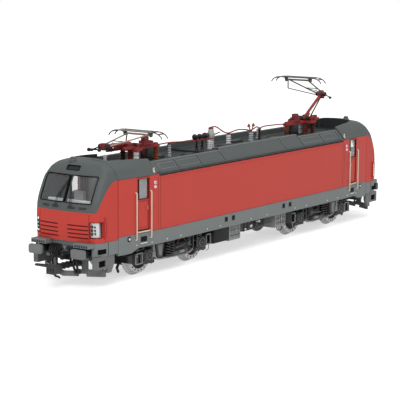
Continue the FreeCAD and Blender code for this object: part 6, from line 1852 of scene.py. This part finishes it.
def coupler(end):
    """Loop coupler: shaft, stepped head, wire loop and the bent release wire."""
    black, brown, grey = Mesh(), Mesh(), Mesh()
    low, high = COUPLER_Z, COUPLER_Z + 1.6
    black.lathe([(0.85, low), (2.0, low), (2.1, low + 0.1), (2.1, high - 0.1), (2.0, high), (0.85, high)],
                (COUPLER_X, 0, 0), "z", 28)
    black.box(COUPLER_X + 1.2, HEAD_X0 + 0.4, -1.5, 1.5, low, high, 0.25)
    for k in range(4):
        black.box(COUPLER_X + 3.2 + 2.3 * k, COUPLER_X + 3.7 + 2.3 * k, -1.7, 1.7, low - 0.15, high + 0.15,
                  0.1)
    nose = HEAD_X0 + 4.4
    plan = [(HEAD_X0, -2.6), (nose - 0.3, -2.6), (nose, -2.2), (nose, 1.3), (HEAD_X0 + 2.2, 2.6),
            (HEAD_X0, 2.6)]
    grey.prism(plan, "z", high - 2.8, high, 0.2)
    grey.box(HEAD_X0 + 0.4, nose - 0.6, -2.0, 1.2, high - 0.05, high + 0.35, 0.12)
    for y in (-1.9, -0.7, 0.5):
        black.box(nose - 0.25, nose + 0.06, y - 0.3, y + 0.3, high - 2.4, high - 0.5, 0.08)
    loop_x, loop_y, loop_z = END_X + 5.5, 5.4, low + 2.1
    root = (HEAD_X0 + 1.1, 2.2, high - 0.2)
    ring = [(loop_x, 0, loop_z), (loop_x, loop_y - 0.9, loop_z), (loop_x - 0.3, loop_y - 0.25, loop_z),
            (loop_x - 0.9, loop_y, loop_z), root]
    for side in (-1, 1):
        brown.tube([(x, side * y, z) for x, y, z in ring], 0.8, 12)
    brown.tube([(HEAD_X0 + 1.1, -2.4, high - 0.1), (HEAD_X0 + 1.1, 2.4, high - 0.1)], 0.9, 12)
    trip = [(HEAD_X0 + 2.6, 0, low + 0.3), (HEAD_X0 + 2.4, 0, low - 0.3), (HEAD_X0 + 1.2, 0, low - 1.9),
            (HEAD_X0 + 0.6, 0, low - 2.4), (HEAD_X0 - 0.6, 0, low - 2.8), (HEAD_X0 - 1.6, 0, low - 3.4)]
    black.tube(smooth_path(trip, 4), 0.75, 10)
    end_emit(black, "coupler_shaft", end, black_moulding, "coupler_black", "coupler_" + end,
             ("coupler_" + end,))
    end_emit(brown, "coupler_loop", end, loop_brown, "coupler_black", "coupler_" + end)
    end_emit(grey, "coupler_head", end, coupler_grey, "coupler_black", "coupler_" + end)


coupler_grey = finish_of("blue_grey_moulding", (0.050, 0.056, 0.064), rough=0.4, mottle=0.2, bump=0.25,
                         edge_glint=0.2)
for end in ENDS:
    buffers(end)
    beam_details(end)
    hoses(end)
    coupler(end)


# ---------------------------------------------------------------- underfloor cases and air tanks
def case_box(piece, x0, x1, y, depth):
    """Case across the floor, rounded along its lower edges."""
    z0, z1, r = SILL_Z - depth, SILL_Z, 0.7
    outline = [(-y, z1), (-y, z0 + r)]
    outline += [(-y + r - r * math.cos(math.radians(t)), z0 + r - r * math.sin(math.radians(t)))
                for t in (30, 60, 90)]
    outline += [(-v, z) for v, z in reversed(outline)]
    piece.prism(outline, "x", x0, x1, 0.1)


def underfloor():
    """Row of cases under the floor, their ends given as shares of the row; the pale ones have grilles."""
    case_high = node_box("underfloor_cases")[1]
    end_x, y = case_high.x, case_high.y
    dark, pale, black, grey, white = Mesh(), Mesh(), Mesh(), Mesh(), Mesh()
    for from_x, to_x, depth, piece in ((-0.636, -0.361, 6.75, pale), (0.252, 0.439, 3.6, grey),
                                       (0.544, 0.816, 6.1, pale)):
        x0, x1 = end_x * from_x, end_x * to_x
        case_box(piece, x0, x1, y, depth)
        for side in (-1, 1) if piece is pale else ():
            face = side * y
            a, b = sorted((face, face + side * 0.12))
            for k in range(5):
                x = x0 + 1.2 + (x1 - x0 - 2.4) * k / 4
                black.box(x - 0.08, x + 0.08, a, b, SILL_Z - depth + 1.0, SILL_Z - 0.8, 0)
            for z in (SILL_Z - depth * 0.36, SILL_Z - depth * 0.68):
                black.box(x0 + 0.4, x1 - 0.4, a, b, z - 0.07, z + 0.07, 0)
            white.lathe([(0, face - 0.05), (0.32, face - 0.05), (0.32, face + side * 0.22),
                         (0, face + side * 0.25)],
                        ((x0 + x1) / 2 + 0.6, 0, SILL_Z - depth * 0.4), "y", 12)
    # outer cases, cut back over the wheels
    for from_x, to_x, depth in ((-1.0, -0.643, 6.3), (0.823, 1.0, 5.4)):
        case_box(dark, end_x * from_x, end_x * to_x, y, depth)
    bay_x = PIVOT_X - AXLE_X - 7.2 - 1.0 - 1.75
    tools = Mesh()
    for side in (-1, 1):
        tools.box(side * bay_x, side * 60, -12.6, 12.6, 0, SILL_Z - 0.02, 0)
    dark.emit("dark_cases", "body", dark_case, "case_grey", ("underfloor_cases",), cutters=tools)
    for k in range(7):
        x = -2.5 - 1.35 * k
        for side in (-1, 1):
            a, b = sorted((side * (y - 0.1), side * (y - 1.5)))
            piece = (black, grey, black, grey, black, grey, black)[k]
            piece.box(x - 0.5, x + 0.5, a, b, SILL_Z - 2.2 - (k * 5 % 7) * 0.35, SILL_Z, 0.15)
    for x, z, r in ((-2.2, SILL_Z - 2.6, 0.75), (3.8, SILL_Z - 1.4, 0.6), (-6.4, SILL_Z - 3.4, 0.5)):
        for side in (-1, 1):
            white.lathe([(0, side * (y - 1.7)), (r, side * (y - 1.7)), (r, side * (y - 0.2)),
                         (r * 0.7, side * y),
                         (0, side * y)], (x, 0, z), "y", 18)
    for side in (-1, 1):
        black.tube([(-9.8, side * (y - 0.9), SILL_Z - 0.8), (6.8, side * (y - 0.9), SILL_Z - 0.9)], 0.7, 10)
        grey.tube([(-9.6, side * (y - 0.7), SILL_Z - 3.9), (-4.0, side * (y - 0.7), SILL_Z - 4.1),
                   (7.0, side * (y - 0.7), SILL_Z - 3.7)], 0.55, 10)
    pale.emit("pale_cases", "body", case_moulding, "case_grey")
    black.emit("floor_pipes", "body", black_moulding, "dark_plastic")
    grey.emit("floor_boxes", "body", link_moulding, "case_grey")
    white.emit("floor_caps", "body", white_plastic_and_glints, "cream_plastic")


def tanks():
    """Four air tanks with domed ends and straps."""
    low, high = node_box("air_gear")
    d = 5.0
    tank, strap = Mesh(), Mesh()
    z = SILL_Z - d / 2
    x0, x1 = low.x, high.x
    case_y = HALF_W - 2.1
    for y in (4.2 - case_y, -3.6, 3.6, case_y - 4.2):
        tank.lathe([(0, x0), (1.5, x0 + 0.15), (2.2, x0 + 0.6), (2.5, x0 + 1.2), (2.5, x1 - 1.2),
                    (2.2, x1 - 0.6),
                    (1.5, x1 - 0.15), (0, x1)], (0, y, z), "x", 32)
        for x in (x0 + 3.0, x1 - 3.0):
            strap.lathe([(2.45, x - 0.45), (2.62, x - 0.45), (2.62, x + 0.45), (2.45, x + 0.45),
                         (2.45, x - 0.45)],
                        (0, y, z), "x", 32)
    for x in (x0 + 3.0, x1 - 3.0):
        strap.box(x - 0.6, x + 0.6, low.y + 2.5, high.y - 2.5, z, SILL_Z, 0.1)
    tank.emit("air_tanks", "body", dark_case, "dark_plastic", ("air_gear",))
    strap.emit("tank_straps", "body", link_moulding, "dark_plastic")


dark_case = finish_of("dark_case_moulding", (0.010, 0.011, 0.012), rough=0.5, mottle=0.2, bump=0.25, edge_glint=0.1)
underfloor()
tanks()


# ---------------------------------------------------------------- camera, floor and light
LENS = 144.11                                        # millimetres, on a sensor of 36 mm
CAMERA_PLACE = (-0.547949, -0.371931, 0.121374)      # metres
CAMERA_TURN = (54.948, -8.783, 0.269)                # yaw, pitch and roll in degrees
FLOOR_GLOW = 0.6
SKY_STRENGTH = 0.5
AIM = (0, 0, 0.03)                                   # metres, where both lamps point
KEY_WATTS, TOP_WATTS = 5, 3.5


def camera():
    """Camera of the front view; its place is in metres."""
    data = bpy.data.cameras.new("camera")
    data.lens = LENS
    data.sensor_width = 36.0
    data.clip_start, data.clip_end = 0.05, 50
    viewer = bpy.data.objects.new("camera", data)
    bpy.context.collection.objects.link(viewer)
    yaw, pitch, roll = (math.radians(turn) for turn in CAMERA_TURN)
    ahead = Vector((math.cos(pitch) * math.sin(yaw), math.cos(pitch) * math.cos(yaw), math.sin(pitch)))
    right = ahead.cross(Vector((0, 0, 1))).normalized()
    up = right.cross(ahead)
    side = math.cos(roll) * right + math.sin(roll) * up
    top = math.cos(roll) * up - math.sin(roll) * right
    turn = Matrix((side, top, -ahead)).transposed()
    viewer.matrix_world = Matrix.Translation(CAMERA_PLACE) @ turn.to_4x4()
    bpy.context.scene.camera = viewer


def floor():
    """Pale ground under the wheels; it glows for the camera only."""
    size = 1.1
    data = bpy.data.meshes.new("studio_floor")
    data.from_pydata([(-size, -size, 0), (size, -size, 0), (size, size, 0), (-size, size, 0)], [],
                     [(0, 1, 2, 3)])
    sheet = bpy.data.objects.new("studio_floor", data)
    bpy.context.collection.objects.link(sheet)
    sheet.location.z = cad_box[0][2]
    white = finish_of("pale_floor", (0.9, 0.9, 0.9), rough=0.9, mottle=0.01, bump=0.0, shine=0.0)
    tree = white.node_tree
    glow = tree.nodes["Principled BSDF"]
    glow.inputs["Emission Color"].default_value = (1, 1, 1, 1)
    path = node(tree, "ShaderNodeLightPath")
    lift = node(tree, "ShaderNodeMath", operation="MULTIPLY")
    lift.inputs[1].default_value = FLOOR_GLOW
    tree.links.new(path.outputs["Is Camera Ray"], lift.inputs[0])
    tree.links.new(lift.outputs[0], glow.inputs["Emission Strength"])
    data.materials.append(white)


def area_light(name, place, aim, size, watts):
    """Rectangular lamp aimed at a point."""
    data = bpy.data.lights.new(name, "AREA")
    data.shape = "RECTANGLE"
    data.size, data.size_y = size
    data.energy = watts
    lamp = bpy.data.objects.new(name, data)
    bpy.context.collection.objects.link(lamp)
    lamp.location = place
    lamp.rotation_euler = (Vector(aim) - Vector(place)).to_track_quat("-Z", "Y").to_euler()


def studio():
    """White backdrop for the camera, an even sky for the model, and two lamps."""
    world = bpy.data.worlds.new("studio")
    bpy.context.scene.world = world
    world.use_nodes = True
    tree = world.node_tree
    sky = tree.nodes["Background"]
    sky.inputs["Color"].default_value = (1, 1, 1, 1)
    sky.inputs["Strength"].default_value = SKY_STRENGTH
    white = node(tree, "ShaderNodeBackground", Color=(1, 1, 1, 1), Strength=1.0)
    path = node(tree, "ShaderNodeLightPath")
    choose = node(tree, "ShaderNodeMixShader")
    tree.links.new(path.outputs["Is Camera Ray"], choose.inputs[0])
    tree.links.new(sky.outputs[0], choose.inputs[1])
    tree.links.new(white.outputs[0], choose.inputs[2])
    tree.links.new(choose.outputs[0], tree.nodes["World Output"].inputs["Surface"])
    area_light("key", (-0.9, -0.5, 0.9), AIM, (0.7, 0.5), KEY_WATTS)
    area_light("top", (0.1, -0.3, 1.2), AIM, (1.2, 0.6), TOP_WATTS)
    bpy.context.scene.view_settings.view_transform = "Standard"


camera()
floor()
studio()
